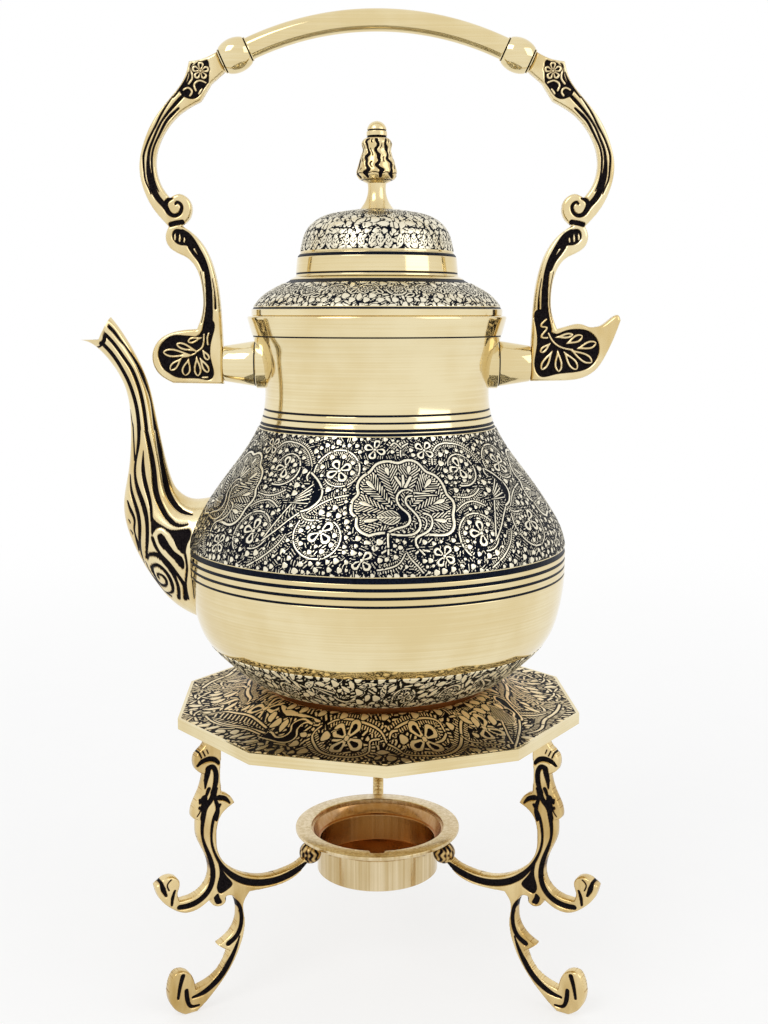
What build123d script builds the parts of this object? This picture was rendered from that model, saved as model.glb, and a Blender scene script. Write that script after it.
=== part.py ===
# Brass teapot with a swinging bail handle, standing on a three-legged warmer with a burner cup.
# Millimetres, +Z up. The pot's axis is the Z axis while the pieces are drawn; the spout points along -X.
# At the end every piece is moved together so that the origin lies under the middle of the whole object.

import os
from math import asin, cos, radians, sin, sqrt

from build123d import *

os.makedirs("parts", exist_ok=True)

# Gauges of metal
sheet = 1.5  # spun brass walls of the pot and the lid
tray_sheet = 1.6
arm_gauge = 6.0  # thickness of the handle's two cast arms
leg_gauge = 5.2  # thickness of the three cast legs

# Warmer stand
tray_radius = 87.0  # axis to a corner of the ten-sided tray
tray_sides = 10
tray_turn = 20.5  # a corner stands nearly to the front, a little to the right
tray_border_height = 120.6  # top of the flat border
seat_rise = 7.1  # the seat, on which the pot's foot stands, above the border
tray_rim_height = 4.6  # how far the turned-down rim reaches below that
tray_blank_radius = 92.0  # the round blank whose edge is cut to ten sides
tray_ramp_radius = 73.0  # where the border starts to rise to the seat
seat_radius = 49.0
heat_hole_radius = 34.0
leg_reach = 103.0  # axis to the outermost point of a leg
pad_inset = 0.9  # the leg's top pad lies this far inside the tray's rim
pad_half = 3.6

# Burner cup
cup_rest_height = 61.2  # underside of the flange, on the ends of the leg arms
flange_radius = 35.8
flange_gauge = 1.6
throat_radius = 28.9
well_radius = 25.0
cup_wall = 1.4
cup_depth = 18.0
throat_depth = 4.6
rest_ball_radius = 4.7
rest_ball_distance = 33.0  # axis to the middle of each arm's ball end
rest_flat_radius = 1.4  # filed seat on top of the ball
notch_width = 6.0
notch_depth = 2.2

# Pot, radii and heights above the seat
foot_ring_radius = 46.0
foot_ring_width = 3.6
foot_ring_height = 2.6
belly_radius = 79.0
belly_height = 51.5  # the seam between bowl and shell, where the belly is widest
neck_radius = 46.4
neck_height = 125.0
neck_top_radius = 51.3
collar_height = 147.2  # the collar's joint with the neck
collar_flare = 2.0  # how far the rim stands out past the top of the neck
rim_height = 155.5
rim_ledge = 7.3  # width of the rim's flat top, from its edge to its bore
rim_edge = 0.7  # bevel of the rim's outer edge

# Spout
spout_reach = 44.3  # belly to the tip of the beak
spout_root_rise = 4.0  # above the seam
spout_rise = 89.5  # root to the beak
beak_drop = 0.6  # fall of the beak's open top towards its tip
spout_wall = 1.5
strainer_hole_radius = 1.9
strainer_pitch = 5.4
strainer_height = 15.0  # middle of the strainer above the seam

# Handle
pivot_height = 136.5  # above the seat
boss_end = 63.4  # axis to the small end of each boss
boss_end_radius = 7.4
boss_root_radius = 9.3
boss_flange_radius = 10.2
boss_flange_gauge = 1.3
pivot_gap = 0.3  # between a boss and its arm
pin_radius = 1.8
pin_clearance = 0.05
pin_in_boss = 10.0
pin_in_arm = 7.0
arm_reach = 96.1  # axis to the widest point of the arms
grip_height = 272.4  # middle of the grip tube's crown above the seat
grip_half_span = 51.0
grip_sag = 11.0
grip_radius = 4.4
grip_bore_radius = 3.2
ferrule_length = 12.4
ferrule_radius = 6.8
ferrule_neck_radius = 5.0
tenon_radius = 2.7
tenon_in_tube = 8.0
shoulder_half = 4.0  # half the arm's depth where it meets its ferrule

# Lid, heights above the rim
lid_edge_inset = 1.7  # the lid's edge lies this far inside the rim's edge
lid_edge_height = 2.6
lid_band_radius = 33.4
lid_band_height = 16.0  # foot of the polished band
dome_height = 25.3  # joint of the dome with the band
dome_radius = 31.4
dome_rise = 17.4
plug_clearance = 0.4
plug_depth = 9.5
plug_gauge = 1.4
finial_rise = 35.2
finial_radius = 8.3
finial_base_radius = 7.2
flute_count = 8
flute_radius = 2.2
flute_depth = 0.9
stud_radius = 2.4
stud_proud = 0.8
nut_across_flats = 8.0
nut_height = 3.2
washer_radius = 5.6
washer_gauge = 0.8

# Sizes that follow from these
rim_radius = neck_top_radius + collar_flare
rim_bore_radius = rim_radius - rim_ledge
lid_edge_radius = rim_radius - lid_edge_inset

# Heights above the table that follow from these
seat_height = tray_border_height + seat_rise
tray_underside = tray_border_height - tray_sheet
bowl_base = seat_height + foot_ring_height
seam_level = seat_height + belly_height
spout_root_level = seam_level + spout_root_rise
neck_level = seat_height + neck_height
collar_level = seat_height + collar_height
rim_level = seat_height + rim_height
pivot_level = seat_height + pivot_height
band_level = rim_level + lid_band_height
dome_level = rim_level + dome_height
dome_top = dome_level + dome_rise
grip_level = seat_height + grip_height


def between(low, high, share):
    return low + (high - low) * share


def follow(value, drawn, real):
    """Moves a drawn coordinate so that the drawn stations land on the real ones."""
    last = len(drawn) - 2
    for i in range(last + 1):
        if value <= drawn[i + 1] or i == last:
            share = (value - drawn[i]) / (drawn[i + 1] - drawn[i])
            return between(real[i], real[i + 1], share)


def inset(points, wall):
    """The same run of points, each moved square to the run by the wall, to the left of its direction."""
    moved = []
    for i, (x, y) in enumerate(points):
        x0, y0 = points[max(i - 1, 0)]
        x1, y1 = points[min(i + 1, len(points) - 1)]
        run = sqrt((x1 - x0) ** 2 + (y1 - y0) ** 2)
        moved.append((x - (y1 - y0) / run * wall, y + (x1 - x0) / run * wall))
    return moved


def outline(stretches):
    """A closed line from stretches that run end to end; one point alone is a straight edge to it."""
    with BuildLine() as path:
        start = stretches[-1][-1]
        for stretch in stretches:
            if len(stretch) == 1:
                Line(start, stretch[0])
            else:
                Spline(start, *stretch)
            start = stretch[-1]
    return path.line


pieces = {}


def keep(name, part):
    part.label = name
    pieces[name] = part


# Pot profile, as shares of the step in radius and of the step in height between the named sizes
bowl_shares = [
    (0.0, 0.0),
    (0.17, 0.03),
    (0.3, 0.085),
    (0.48, 0.185),
    (0.66, 0.3),
    (0.81, 0.42),
    (0.93, 0.63),
    (0.986, 0.85),
    (1.0, 1.0),
]
shoulder_shares = [
    (1.0, 0.0),
    (0.985, 0.16),
    (0.915, 0.25),
    (0.79, 0.345),
    (0.53, 0.51),
    (0.34, 0.62),
    (0.14, 0.755),
    (0.035, 0.87),
    (0.0, 1.0),
]
flare_shares = [(0.1, 0.33), (0.42, 0.7), (1.0, 1.0)]
bowl_edge = [
    (between(foot_ring_radius, belly_radius, u), between(bowl_base, seam_level, v))
    for u, v in bowl_shares
]
shell_edge = [
    (between(neck_radius, belly_radius, u), between(seam_level, neck_level, v))
    for u, v in shoulder_shares
]
shell_edge += [
    (between(neck_radius, neck_top_radius, u), between(neck_level, collar_level, v))
    for u, v in flare_shares
]
bowl_ends = [(1, 0.1), (0, 1)]  # directions of the bowl's edge at its foot and at the seam
shell_ends = [(0, 1), (0.35, 1)]

# The pot's outer form, which the castings on it are cut to
with BuildPart() as pot_envelope:
    with BuildSketch(Plane.XZ):
        with BuildLine():
            Line((0, bowl_base), bowl_edge[0])
            Spline(*bowl_edge, tangents=bowl_ends)
            Spline(*shell_edge, tangents=shell_ends)
            Polyline(shell_edge[-1], (0, collar_level), (0, bowl_base))
        make_face()
    revolve(axis=Axis.Z)

# Bowl: the lower half of the belly, with its flat bottom
with BuildPart() as base_bowl:
    floor_level = bowl_base + sheet
    bowl_wall = [(foot_ring_radius, floor_level)] + inset(bowl_edge, sheet)[2:-1]
    bowl_wall.append((belly_radius - sheet, seam_level))
    with BuildSketch(Plane.XZ):
        with BuildLine():
            Line((0, bowl_base), bowl_edge[0])
            Spline(*bowl_edge, tangents=bowl_ends)
            Line(bowl_edge[-1], bowl_wall[-1])
            Spline(*reversed(bowl_wall))
            Polyline(bowl_wall[0], (0, floor_level), (0, bowl_base))
        make_face()
    revolve(axis=Axis.Z)
keep("base_bowl", base_bowl.part)

# Shell: the upper half of the belly and the neck, pierced behind the spout as a strainer
with BuildPart() as body_shell:
    shell_wall = [(belly_radius - sheet, seam_level)] + inset(shell_edge, sheet)[1:-1]
    shell_wall.append((neck_top_radius - sheet, collar_level))
    with BuildSketch(Plane.XZ):
        with BuildLine():
            Spline(*shell_edge, tangents=shell_ends)
            Line(shell_edge[-1], shell_wall[-1])
            Spline(*reversed(shell_wall))
            Line(shell_wall[0], shell_edge[0])
        make_face()
    revolve(axis=Axis.Z)
    strainer_middle = (-belly_radius, 0, seam_level + strainer_height)
    with BuildSketch(Plane(strainer_middle, x_dir=(0, 1, 0), z_dir=(-1, 0, 0))):
        Circle(strainer_hole_radius)
        with PolarLocations(strainer_pitch, 6):
            Circle(strainer_hole_radius)
    extrude(amount=belly_radius / 4, both=True, mode=Mode.SUBTRACT)
keep("body_shell", body_shell.part)

# Foot ring under the bowl
with BuildPart() as foot_ring:
    with BuildSketch(Plane.XY.offset(seat_height)):
        Circle(foot_ring_radius)
        Circle(foot_ring_radius - foot_ring_width, mode=Mode.SUBTRACT)
    extrude(amount=foot_ring_height)
keep("foot_ring", foot_ring.part)

# Collar: the flared rim, turned in at the top as a ledge for the lid
with BuildPart() as neck_collar:
    ledge_level = rim_level - sheet
    with BuildSketch(Plane.XZ):
        Polygon(
            (neck_top_radius, collar_level),
            (rim_radius, rim_level - rim_edge),
            (rim_radius - rim_edge, rim_level),
            (rim_bore_radius, rim_level),
            (rim_bore_radius, ledge_level),
            (rim_radius - rim_edge - sheet, ledge_level),
            (neck_top_radius - sheet, collar_level),
            align=None,
        )
    revolve(axis=Axis.Z)
keep("neck_collar", neck_collar.part)

# Spout: a hollow casting through leaning oval sections. Each section has its inner and its outer
# point, as shares of the spout's reach beyond the belly and of its rise above the root, and its
# half width across.
spout_sections = [
    ((-0.30, 0.285), (-0.10, -0.305), 18.0),
    ((-0.05, 0.265), (0.27, -0.175), 16.5),
    ((0.10, 0.300), (0.605, 0.145), 11.0),
    ((0.195, 0.400), (0.575, 0.395), 7.9),
    ((0.30, 0.655), (0.540, 0.635), 5.8),
    ((0.405, 0.865), (0.605, 0.820), 5.2),
    ((0.625, 1.065), (0.825, 0.970), 5.0),
    ((0.80, 1.165), (1.010, 1.010), 4.4),
]
lip_low, lip_high = (0.80, 1.01), (0.72, 1.09)  # the mouth's slanting cut, above the beak


def spout_point(share):
    return (-belly_radius - spout_reach * share[0], spout_root_level + spout_rise * share[1])


def spout_faces(wall):
    """The spout's sections, drawn in by a wall all round."""
    faces = []
    for inner, outer, half_width in spout_sections:
        (xi, zi), (xo, zo) = spout_point(inner), spout_point(outer)
        length = sqrt((xo - xi) ** 2 + (zo - zi) ** 2)
        across = ((xo - xi) / length, 0, (zo - zi) / length)
        middle = ((xi + xo) / 2, 0, (zi + zo) / 2)
        with BuildSketch(Plane(middle, x_dir=across, z_dir=(-across[2], 0, across[0]))) as section:
            Ellipse(length / 2 - wall, half_width - wall)
        faces.append(section.sketch.face())
    return faces


with BuildPart() as spout_channel:
    loft(spout_faces(spout_wall))

with BuildPart() as spout:
    loft(spout_faces(0))
    beyond = spout_reach
    x_low, z_low = spout_point(lip_low)
    x_high, z_high = spout_point(lip_high)
    with BuildSketch(Plane.XZ):
        Polygon(
            (x_low, z_low),
            (x_high, z_high),
            (x_high + beyond / 2, z_high + beyond),
            (x_low - beyond, z_high + beyond),
            (x_low - beyond, z_low - beak_drop),
            align=None,
        )
    extrude(amount=beyond, both=True, mode=Mode.SUBTRACT)
    add(spout_channel.part, mode=Mode.SUBTRACT)
    add(pot_envelope.part, mode=Mode.SUBTRACT)
keep("spout", spout.part)

# Bosses on the two sides of the neck: cones with a blind bearing hole for the handle's pins
for side, name in ((-1, "boss_left"), (1, "boss_right")):
    with BuildPart() as boss:
        root = neck_radius - sheet
        flange = neck_radius + boss_flange_gauge
        with BuildSketch(Plane.XZ):
            Polygon(
                (side * root, pivot_level),
                (side * boss_end, pivot_level),
                (side * boss_end, pivot_level + boss_end_radius),
                (side * (flange + 2 * boss_flange_gauge), pivot_level + boss_root_radius),
                (side * (flange + boss_flange_gauge), pivot_level + boss_flange_radius),
                (side * root, pivot_level + boss_flange_radius),
                align=None,
            )
        revolve(axis=Axis((0, 0, pivot_level), (1, 0, 0)))
        with BuildSketch(Plane.YZ.offset(side * boss_end)):
            with Locations((0, pivot_level)):
                Circle(pin_radius + pin_clearance)
        extrude(amount=-side * (pin_in_boss + pin_clearance), mode=Mode.SUBTRACT)
        add(pot_envelope.part, mode=Mode.SUBTRACT)
    keep(name, boss.part)

# Handle: the grip is an arc of tube, and its end directions carry the ferrules and the arms' tenons
grip_bend = (grip_half_span**2 + grip_sag**2) / (2 * grip_sag)
grip_slope = asin(grip_half_span / grip_bend)
arm_face = boss_end + pivot_gap
shoulder_x = grip_half_span + ferrule_length * cos(grip_slope)
shoulder_level = grip_level - grip_sag - ferrule_length * sin(grip_slope)

with BuildPart() as grip_tube:
    with BuildLine(Plane.XZ) as grip_line:
        ThreePointArc(
            (-grip_half_span, grip_level - grip_sag),
            (0, grip_level),
            (grip_half_span, grip_level - grip_sag),
        )
    with BuildSketch(Plane(grip_line.line @ 0, z_dir=grip_line.line % 0)):
        Circle(grip_radius)
        Circle(grip_bore_radius, mode=Mode.SUBTRACT)
    sweep()
keep("grip_tube", grip_tube.part)

# The arms' outlines, drawn for the right side, from the ferrule down the outside and up the inside:
# distances from the pot's axis and heights above the pivot
arm_outside = [
    [(69.5, 122.0), (75.3, 120.9)],
    [(77.1, 115.0), (83.2, 106.6), (90.3, 97.6), (94.4, 88.5), (96.1, 80.6), (94.6, 70.5)]
    + [(90.5, 62.3), (84.9, 55.9)],
    [(86.2, 52.6), (85.3, 48.2), (82.0, 45.4), (77.4, 43.0), (73.3, 37.0), (71.8, 29.8)]
    + [(72.2, 20.5), (74.4, 14.3)],
]
rounded_foot = [
    [(84.2, 13.0), (90.4, 9.4), (93.0, 2.7), (90.6, -4.0), (84.7, -8.0)],
    [(63.9, -8.4)],
]
tailed_foot = [
    [(78.8, 15.5), (83.5, 16.4), (87.2, 15.2)],
    [(91.5, 15.4), (96.0, 18.4), (99.3, 20.0), (100.4, 17.8)],
    [(98.0, 11.0), (94.6, 3.4), (90.2, -3.0), (84.0, -6.2), (77.0, -7.0)],
    [(63.9, -7.2)],
]
arm_inside = [
    [(63.9, 8.0)],
    [(64.3, 18.0), (65.0, 28.0), (67.2, 39.5), (71.0, 48.2), (75.6, 53.4), (79.6, 56.2)],
    [(77.0, 58.4), (75.4, 62.8), (76.8, 67.0), (80.4, 68.9), (84.2, 67.3)],
    [(87.2, 71.4), (89.4, 78.1), (88.9, 85.8), (85.4, 93.7), (79.3, 100.6), (70.9, 105.6)],
    [(66.6, 112.4)],
]
drawn_face = arm_inside[0][0][0]
drawn_reach = max(x for stretch in arm_outside for x, z in stretch)
drawn_shoulder = arm_outside[0][-1][1]


def arm_point(point, side):
    x, z = point
    real_x = follow(x, (drawn_face, drawn_reach), (arm_face, arm_reach))
    return (side * real_x, follow(z, (0, drawn_shoulder), (pivot_level, shoulder_level)))


for side, name, foot in ((-1, "left", rounded_foot), (1, "right", tailed_foot)):
    # Along the grip's end direction: out of the tube, through the ferrule, to the arm's shoulder
    tube_end = Vector(side * grip_half_span, 0, grip_level - grip_sag)
    along = Vector(side * cos(grip_slope), 0, -sin(grip_slope))
    across = Vector(side * sin(grip_slope), 0, cos(grip_slope))
    shoulder = tube_end + along * ferrule_length

    with BuildPart() as ferrule:
        with BuildSketch(Plane(tube_end, x_dir=along, z_dir=along.cross(across))):
            with BuildLine():
                Polyline(
                    (ferrule_length, ferrule_neck_radius),
                    (ferrule_length, tenon_radius),
                    (0, tenon_radius),
                    (0, ferrule_neck_radius),
                )
                ThreePointArc(
                    (0, ferrule_neck_radius),
                    (ferrule_length / 2, ferrule_radius),
                    (ferrule_length, ferrule_neck_radius),
                )
            make_face()
        revolve(axis=Axis(tube_end, along))
    keep("ferrule_" + name, ferrule.part)

    with BuildPart() as arm:
        high = shoulder + across * shoulder_half
        low = shoulder - across * shoulder_half
        path = arm_outside + foot + arm_inside
        path = [[arm_point(point, side) for point in stretch] for stretch in path]
        path += [[(low.X, low.Z)], [(high.X, high.Z)]]
        with BuildSketch(Plane.XZ):
            add(outline(path))
            make_face()
        extrude(amount=arm_gauge / 2, both=True)
        with BuildSketch(Plane(shoulder, z_dir=along)):
            Circle(tenon_radius)
        extrude(amount=-(ferrule_length + tenon_in_tube))
        with BuildSketch(Plane.YZ.offset(side * arm_face)):
            with Locations((0, pivot_level)):
                Circle(pin_radius)
        extrude(amount=side * pin_in_arm, mode=Mode.SUBTRACT)
    keep("handle_arm_" + name, arm.part)

    with BuildPart() as pin:
        with BuildSketch(Plane.YZ.offset(side * (arm_face + pin_in_arm))):
            with Locations((0, pivot_level)):
                Circle(pin_radius)
        extrude(amount=-side * (pin_in_arm + pivot_gap + pin_in_boss))
    keep("pivot_pin_" + name, pin.part)

# Lid skirt: the flare from the edge up to the polished band
skirt_edge = [
    (lid_edge_radius, rim_level + lid_edge_height),
    (between(lid_band_radius, lid_edge_radius, 0.74), between(rim_level, band_level, 0.51)),
    (between(lid_band_radius, lid_edge_radius, 0.4), between(rim_level, band_level, 0.75)),
    (lid_band_radius, band_level),
]
with BuildPart() as lid_skirt:
    skirt_wall = inset(skirt_edge, sheet)
    band_top = dome_level - (lid_band_radius - dome_radius) / 2
    with BuildSketch(Plane.XZ):
        with BuildLine():
            Line((lid_edge_radius, rim_level), skirt_edge[0])
            Spline(*skirt_edge)
            Polyline(
                skirt_edge[-1],
                (between(dome_radius, lid_band_radius, 0.6), band_top),
                (dome_radius, dome_level),
                (dome_radius - sheet, dome_level),
                (dome_radius - sheet, skirt_wall[-1][1]),
                skirt_wall[-1],
            )
            Spline(*reversed(skirt_wall[1:]), (lid_edge_radius - sheet, skirt_wall[0][1]))
            Polyline(
                (lid_edge_radius - sheet, skirt_wall[0][1]),
                (lid_edge_radius - sheet, rim_level),
                (lid_edge_radius, rim_level),
            )
        make_face()
    revolve(axis=Axis.Z)
keep("lid_skirt", lid_skirt.part)

# Locating ring inside the lid, which drops into the rim
plug_radius = rim_bore_radius - plug_clearance
with BuildPart() as locating_ring:
    with BuildSketch(Plane.XZ):
        Polygon(
            (plug_radius, rim_level - plug_depth),
            (plug_radius, rim_level),
            (lid_edge_radius - sheet, rim_level),
            (lid_edge_radius - sheet, rim_level + plug_gauge),
            (plug_radius - plug_gauge, rim_level + plug_gauge),
            (plug_radius - plug_gauge, rim_level - plug_depth),
            align=None,
        )
    revolve(axis=Axis.Z)
keep("lid_locating_ring", locating_ring.part)

# Dome of the lid
dome_shares = [(1.0, 0.0), (0.985, 0.16), (0.93, 0.48), (0.75, 0.8), (0.4, 0.965)]
dome_edge = [(dome_radius * u, dome_level + dome_rise * v) for u, v in dome_shares]
dome_edge.append((finial_base_radius, dome_top))
with BuildPart() as lid_dome:
    dome_wall = inset(dome_edge, sheet)
    dome_wall[0] = (dome_radius - sheet, dome_level)
    dome_wall[-1] = (finial_base_radius, dome_top - sheet)
    with BuildSketch(Plane.XZ):
        with BuildLine():
            Spline(*dome_edge, tangents=[(0, 1), (-1, 0)])
            Polyline(
                dome_edge[-1], (stud_radius, dome_top), (stud_radius, dome_top - sheet), dome_wall[-1]
            )
            Spline(*reversed(dome_wall))
            Line(dome_wall[0], dome_edge[0])
        make_face()
    revolve(axis=Axis.Z)
keep("lid_dome", lid_dome.part)

# Finial: a stem and a bud of leaves, with a stud through the dome, held by a washer and a nut
stem_shares = [(1.0, 0.0), (0.66, 0.1), (0.5, 0.24)]
bud_shares = [(0.86, 0.33), (1.0, 0.39), (0.93, 0.48), (0.72, 0.62), (0.74, 0.76), (0.52, 0.81)]
tip_shares = [(0.5, 0.86), (0.42, 0.94), (0.2, 0.995), (0.0, 1.0)]
stem_edge = [(finial_base_radius * u, dome_top + finial_rise * v) for u, v in stem_shares]
bud_edge = [(finial_radius * u, dome_top + finial_rise * v) for u, v in bud_shares]
tip_edge = [(finial_radius * u, dome_top + finial_rise * v) for u, v in tip_shares]
stud_end = dome_top - sheet - washer_gauge - nut_height - stud_proud
with BuildPart() as finial:
    with BuildSketch(Plane.XZ):
        with BuildLine():
            Spline(*stem_edge)
            Line(stem_edge[-1], bud_edge[0])
            Spline(*bud_edge)
            Spline(bud_edge[-1], *tip_edge)
            Polyline(
                tip_edge[-1],
                (0, stud_end),
                (stud_radius, stud_end),
                (stud_radius, dome_top),
                stem_edge[0],
            )
        make_face()
    revolve(axis=Axis.Z)
    with BuildSketch(Plane.XY.offset(bud_edge[0][1])):
        with PolarLocations(finial_radius + flute_radius - flute_depth, flute_count):
            Circle(flute_radius)
    extrude(amount=bud_edge[-1][1] - bud_edge[0][1], mode=Mode.SUBTRACT)
keep("finial", finial.part)

with BuildPart() as finial_washer:
    with BuildSketch(Plane.XY.offset(dome_top - sheet)):
        Circle(washer_radius)
        Circle(stud_radius, mode=Mode.SUBTRACT)
    extrude(amount=-washer_gauge)
keep("finial_washer", finial_washer.part)

with BuildPart() as finial_nut:
    with BuildSketch(Plane.XY.offset(dome_top - sheet - washer_gauge)):
        RegularPolygon(nut_across_flats / 2, 6, major_radius=False)
        Circle(stud_radius, mode=Mode.SUBTRACT)
    extrude(amount=-nut_height)
keep("finial_nut", finial_nut.part)

# Tray: a raised seat round the heat hole, a ramp, a flat border and a turned-down ten-sided rim
with BuildPart() as tray:
    with BuildSketch(Plane.XZ):
        with BuildLine():
            for drop in (0, tray_sheet):
                Line((heat_hole_radius, seat_height - drop), (seat_radius, seat_height - drop))
                Spline(
                    (seat_radius, seat_height - drop),
                    (tray_ramp_radius, tray_border_height - drop),
                    tangents=[(1, -0.2), (1, 0)],
                )
                Line(
                    (tray_ramp_radius, tray_border_height - drop),
                    (tray_blank_radius, tray_border_height - drop),
                )
            for radius, level in (
                (heat_hole_radius, seat_height),
                (tray_blank_radius, tray_border_height),
            ):
                Line((radius, level), (radius, level - tray_sheet))
        make_face()
    revolve(axis=Axis.Z)
    with BuildSketch(Plane.XY):
        RegularPolygon(tray_radius, tray_sides, rotation=tray_turn)
    extrude(amount=seat_height + tray_sheet, mode=Mode.INTERSECT)
    with BuildSketch(Plane.XY.offset(tray_underside)):
        RegularPolygon(tray_radius, tray_sides, rotation=tray_turn)
        offset(amount=-tray_sheet, kind=Kind.INTERSECTION, mode=Mode.SUBTRACT)
    extrude(amount=-(tray_rim_height - tray_sheet))
keep("tray", tray.part)

# Burner cup: a flanged well that hangs by its flange on the three leg arms
with BuildPart() as burner_cup:
    flange_top = cup_rest_height + flange_gauge
    cup_floor = flange_top - cup_depth
    with BuildSketch(Plane.XZ):
        Polygon(
            (0, cup_floor - cup_wall),
            (well_radius + cup_wall, cup_floor - cup_wall),
            (well_radius + cup_wall, cup_rest_height - throat_depth),
            (throat_radius + cup_wall, cup_rest_height),
            (flange_radius, cup_rest_height),
            (flange_radius, flange_top),
            (throat_radius, flange_top),
            (well_radius + cup_wall / 2, flange_top - throat_depth - cup_wall),
            (well_radius, flange_top - throat_depth - 1.5 * cup_wall),
            (well_radius, cup_floor),
            (0, cup_floor),
            align=None,
        )
    revolve(axis=Axis.Z)
    with BuildSketch(Plane.XY.offset(flange_top)):
        with Locations((0, -throat_radius)):
            Rectangle(notch_width, 2 * notch_depth)
    extrude(amount=-flange_gauge, mode=Mode.SUBTRACT)
keep("burner_cup", burner_cup.part)

# Legs, drawn in the upright plane of each leg: distance from the axis and height
pad_distance = tray_radius * cos(radians(180 / tray_sides)) - tray_sheet - pad_inset - pad_half
ball_level = cup_rest_height - sqrt(rest_ball_radius**2 - rest_flat_radius**2)
leg_outline = [
    [(81.6, 114.6), (84.8, 111.4), (85.6, 107.6), (84.2, 104.2), (81.8, 102.6)],
    [(83.6, 96.0), (86.9, 88.4), (86.6, 84.8), (85.0, 83.9)],
    [(85.0, 77.0), (82.1, 69.2), (80.3, 61.0), (82.2, 55.2), (87.2, 51.7), (93.2, 51.2)],
    [(93.9, 54.6), (92.9, 58.4), (94.6, 61.6), (98.2, 62.4), (102.9, 59.6)],
    [(101.2, 54.0), (97.0, 48.8), (90.4, 45.0), (84.8, 45.9), (80.4, 48.6)],
    [(79.2, 45.5), (76.2, 44.4), (73.8, 45.8), (73.4, 48.2)],
    [(71.0, 47.9), (69.0, 45.0), (68.3, 40.5), (69.0, 35.2), (72.2, 30.4), (77.7, 27.2)],
    [(74.6, 24.6), (72.6, 23.4)],
    [(74.6, 18.6), (80.1, 12.8), (87.4, 10.2)],
    [(88.2, 14.8), (91.0, 19.0), (95.0, 19.8), (98.2, 14.6), (98.2, 7.6), (95.6, 2.6), (92.2, 0.0)],
    [(87.2, 0.0)],
    [(83.4, 3.0), (79.0, 7.4), (73.8, 13.4), (69.2, 20.6), (66.2, 28.2), (65.2, 36.0)]
    + [(65.4, 43.8), (62.8, 47.8)],
    [(54.0, 47.4), (46.5, 48.0), (40.2, 50.3), (34.4, 55.4)],
    [(33.0, 61.0)],
    [(37.6, 56.2), (45.4, 53.6), (53.8, 53.0), (62.1, 54.9), (70.3, 59.6), (75.8, 66.3)]
    + [(77.2, 76.0), (74.6, 84.4), (68.9, 88.2)],
    [(71.2, 91.8), (74.6, 93.6)],
    [(75.0, 101.0), (74.4, 110.0), (74.2, 120.8)],
    [(80.6, 120.8)],
]
hook_tip = leg_outline[3][-1]
cup_end_bottom, cup_end_top = leg_outline[12][-1], leg_outline[13][-1]
pad_inner, pad_outer = leg_outline[16][-1], leg_outline[17][-1]
drawn_distances = (cup_end_top[0], (pad_inner[0] + pad_outer[0]) / 2, hook_tip[0])
drawn_heights = (0, (cup_end_top[1] + cup_end_bottom[1]) / 2, pad_inner[1])


def leg_point(point):
    distance, height = point
    real_distance = follow(distance, drawn_distances, (rest_ball_distance, pad_distance, leg_reach))
    return (real_distance, follow(height, drawn_heights, (0, ball_level, tray_underside)))


for angle, name in ((210, "leg_front_left"), (330, "leg_front_right"), (90, "leg_rear")):
    outward = Vector(cos(radians(angle)), sin(radians(angle)), 0)
    sideways = Vector(sin(radians(angle)), -cos(radians(angle)), 0)
    with BuildPart() as leg:
        with BuildSketch(Plane((0, 0, 0), x_dir=outward, z_dir=sideways)):
            add(outline([[leg_point(point) for point in stretch] for stretch in leg_outline]))
            make_face()
        extrude(amount=leg_gauge / 2, both=True)
        with Locations(outward * rest_ball_distance + Vector(0, 0, ball_level)):
            Sphere(rest_ball_radius)
        with BuildSketch(Plane.XY.offset(cup_rest_height)):
            with Locations((outward.X * rest_ball_distance, outward.Y * rest_ball_distance)):
                Circle(rest_ball_radius)
        extrude(amount=rest_ball_radius, mode=Mode.SUBTRACT)
    keep(name, leg.part)

# The origin goes under the middle of the whole object, at the level of its feet
boxes = [part.bounding_box() for part in pieces.values()]
middle_x = (min(box.min.X for box in boxes) + max(box.max.X for box in boxes)) / 2
middle_y = (min(box.min.Y for box in boxes) + max(box.max.Y for box in boxes)) / 2
shift = Location((-middle_x, -middle_y, 0))
print("Moved by", round(-middle_x, 4), round(-middle_y, 4))
for name, part in pieces.items():
    export_step(part.moved(shift), f"parts/{name}.step")
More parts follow.
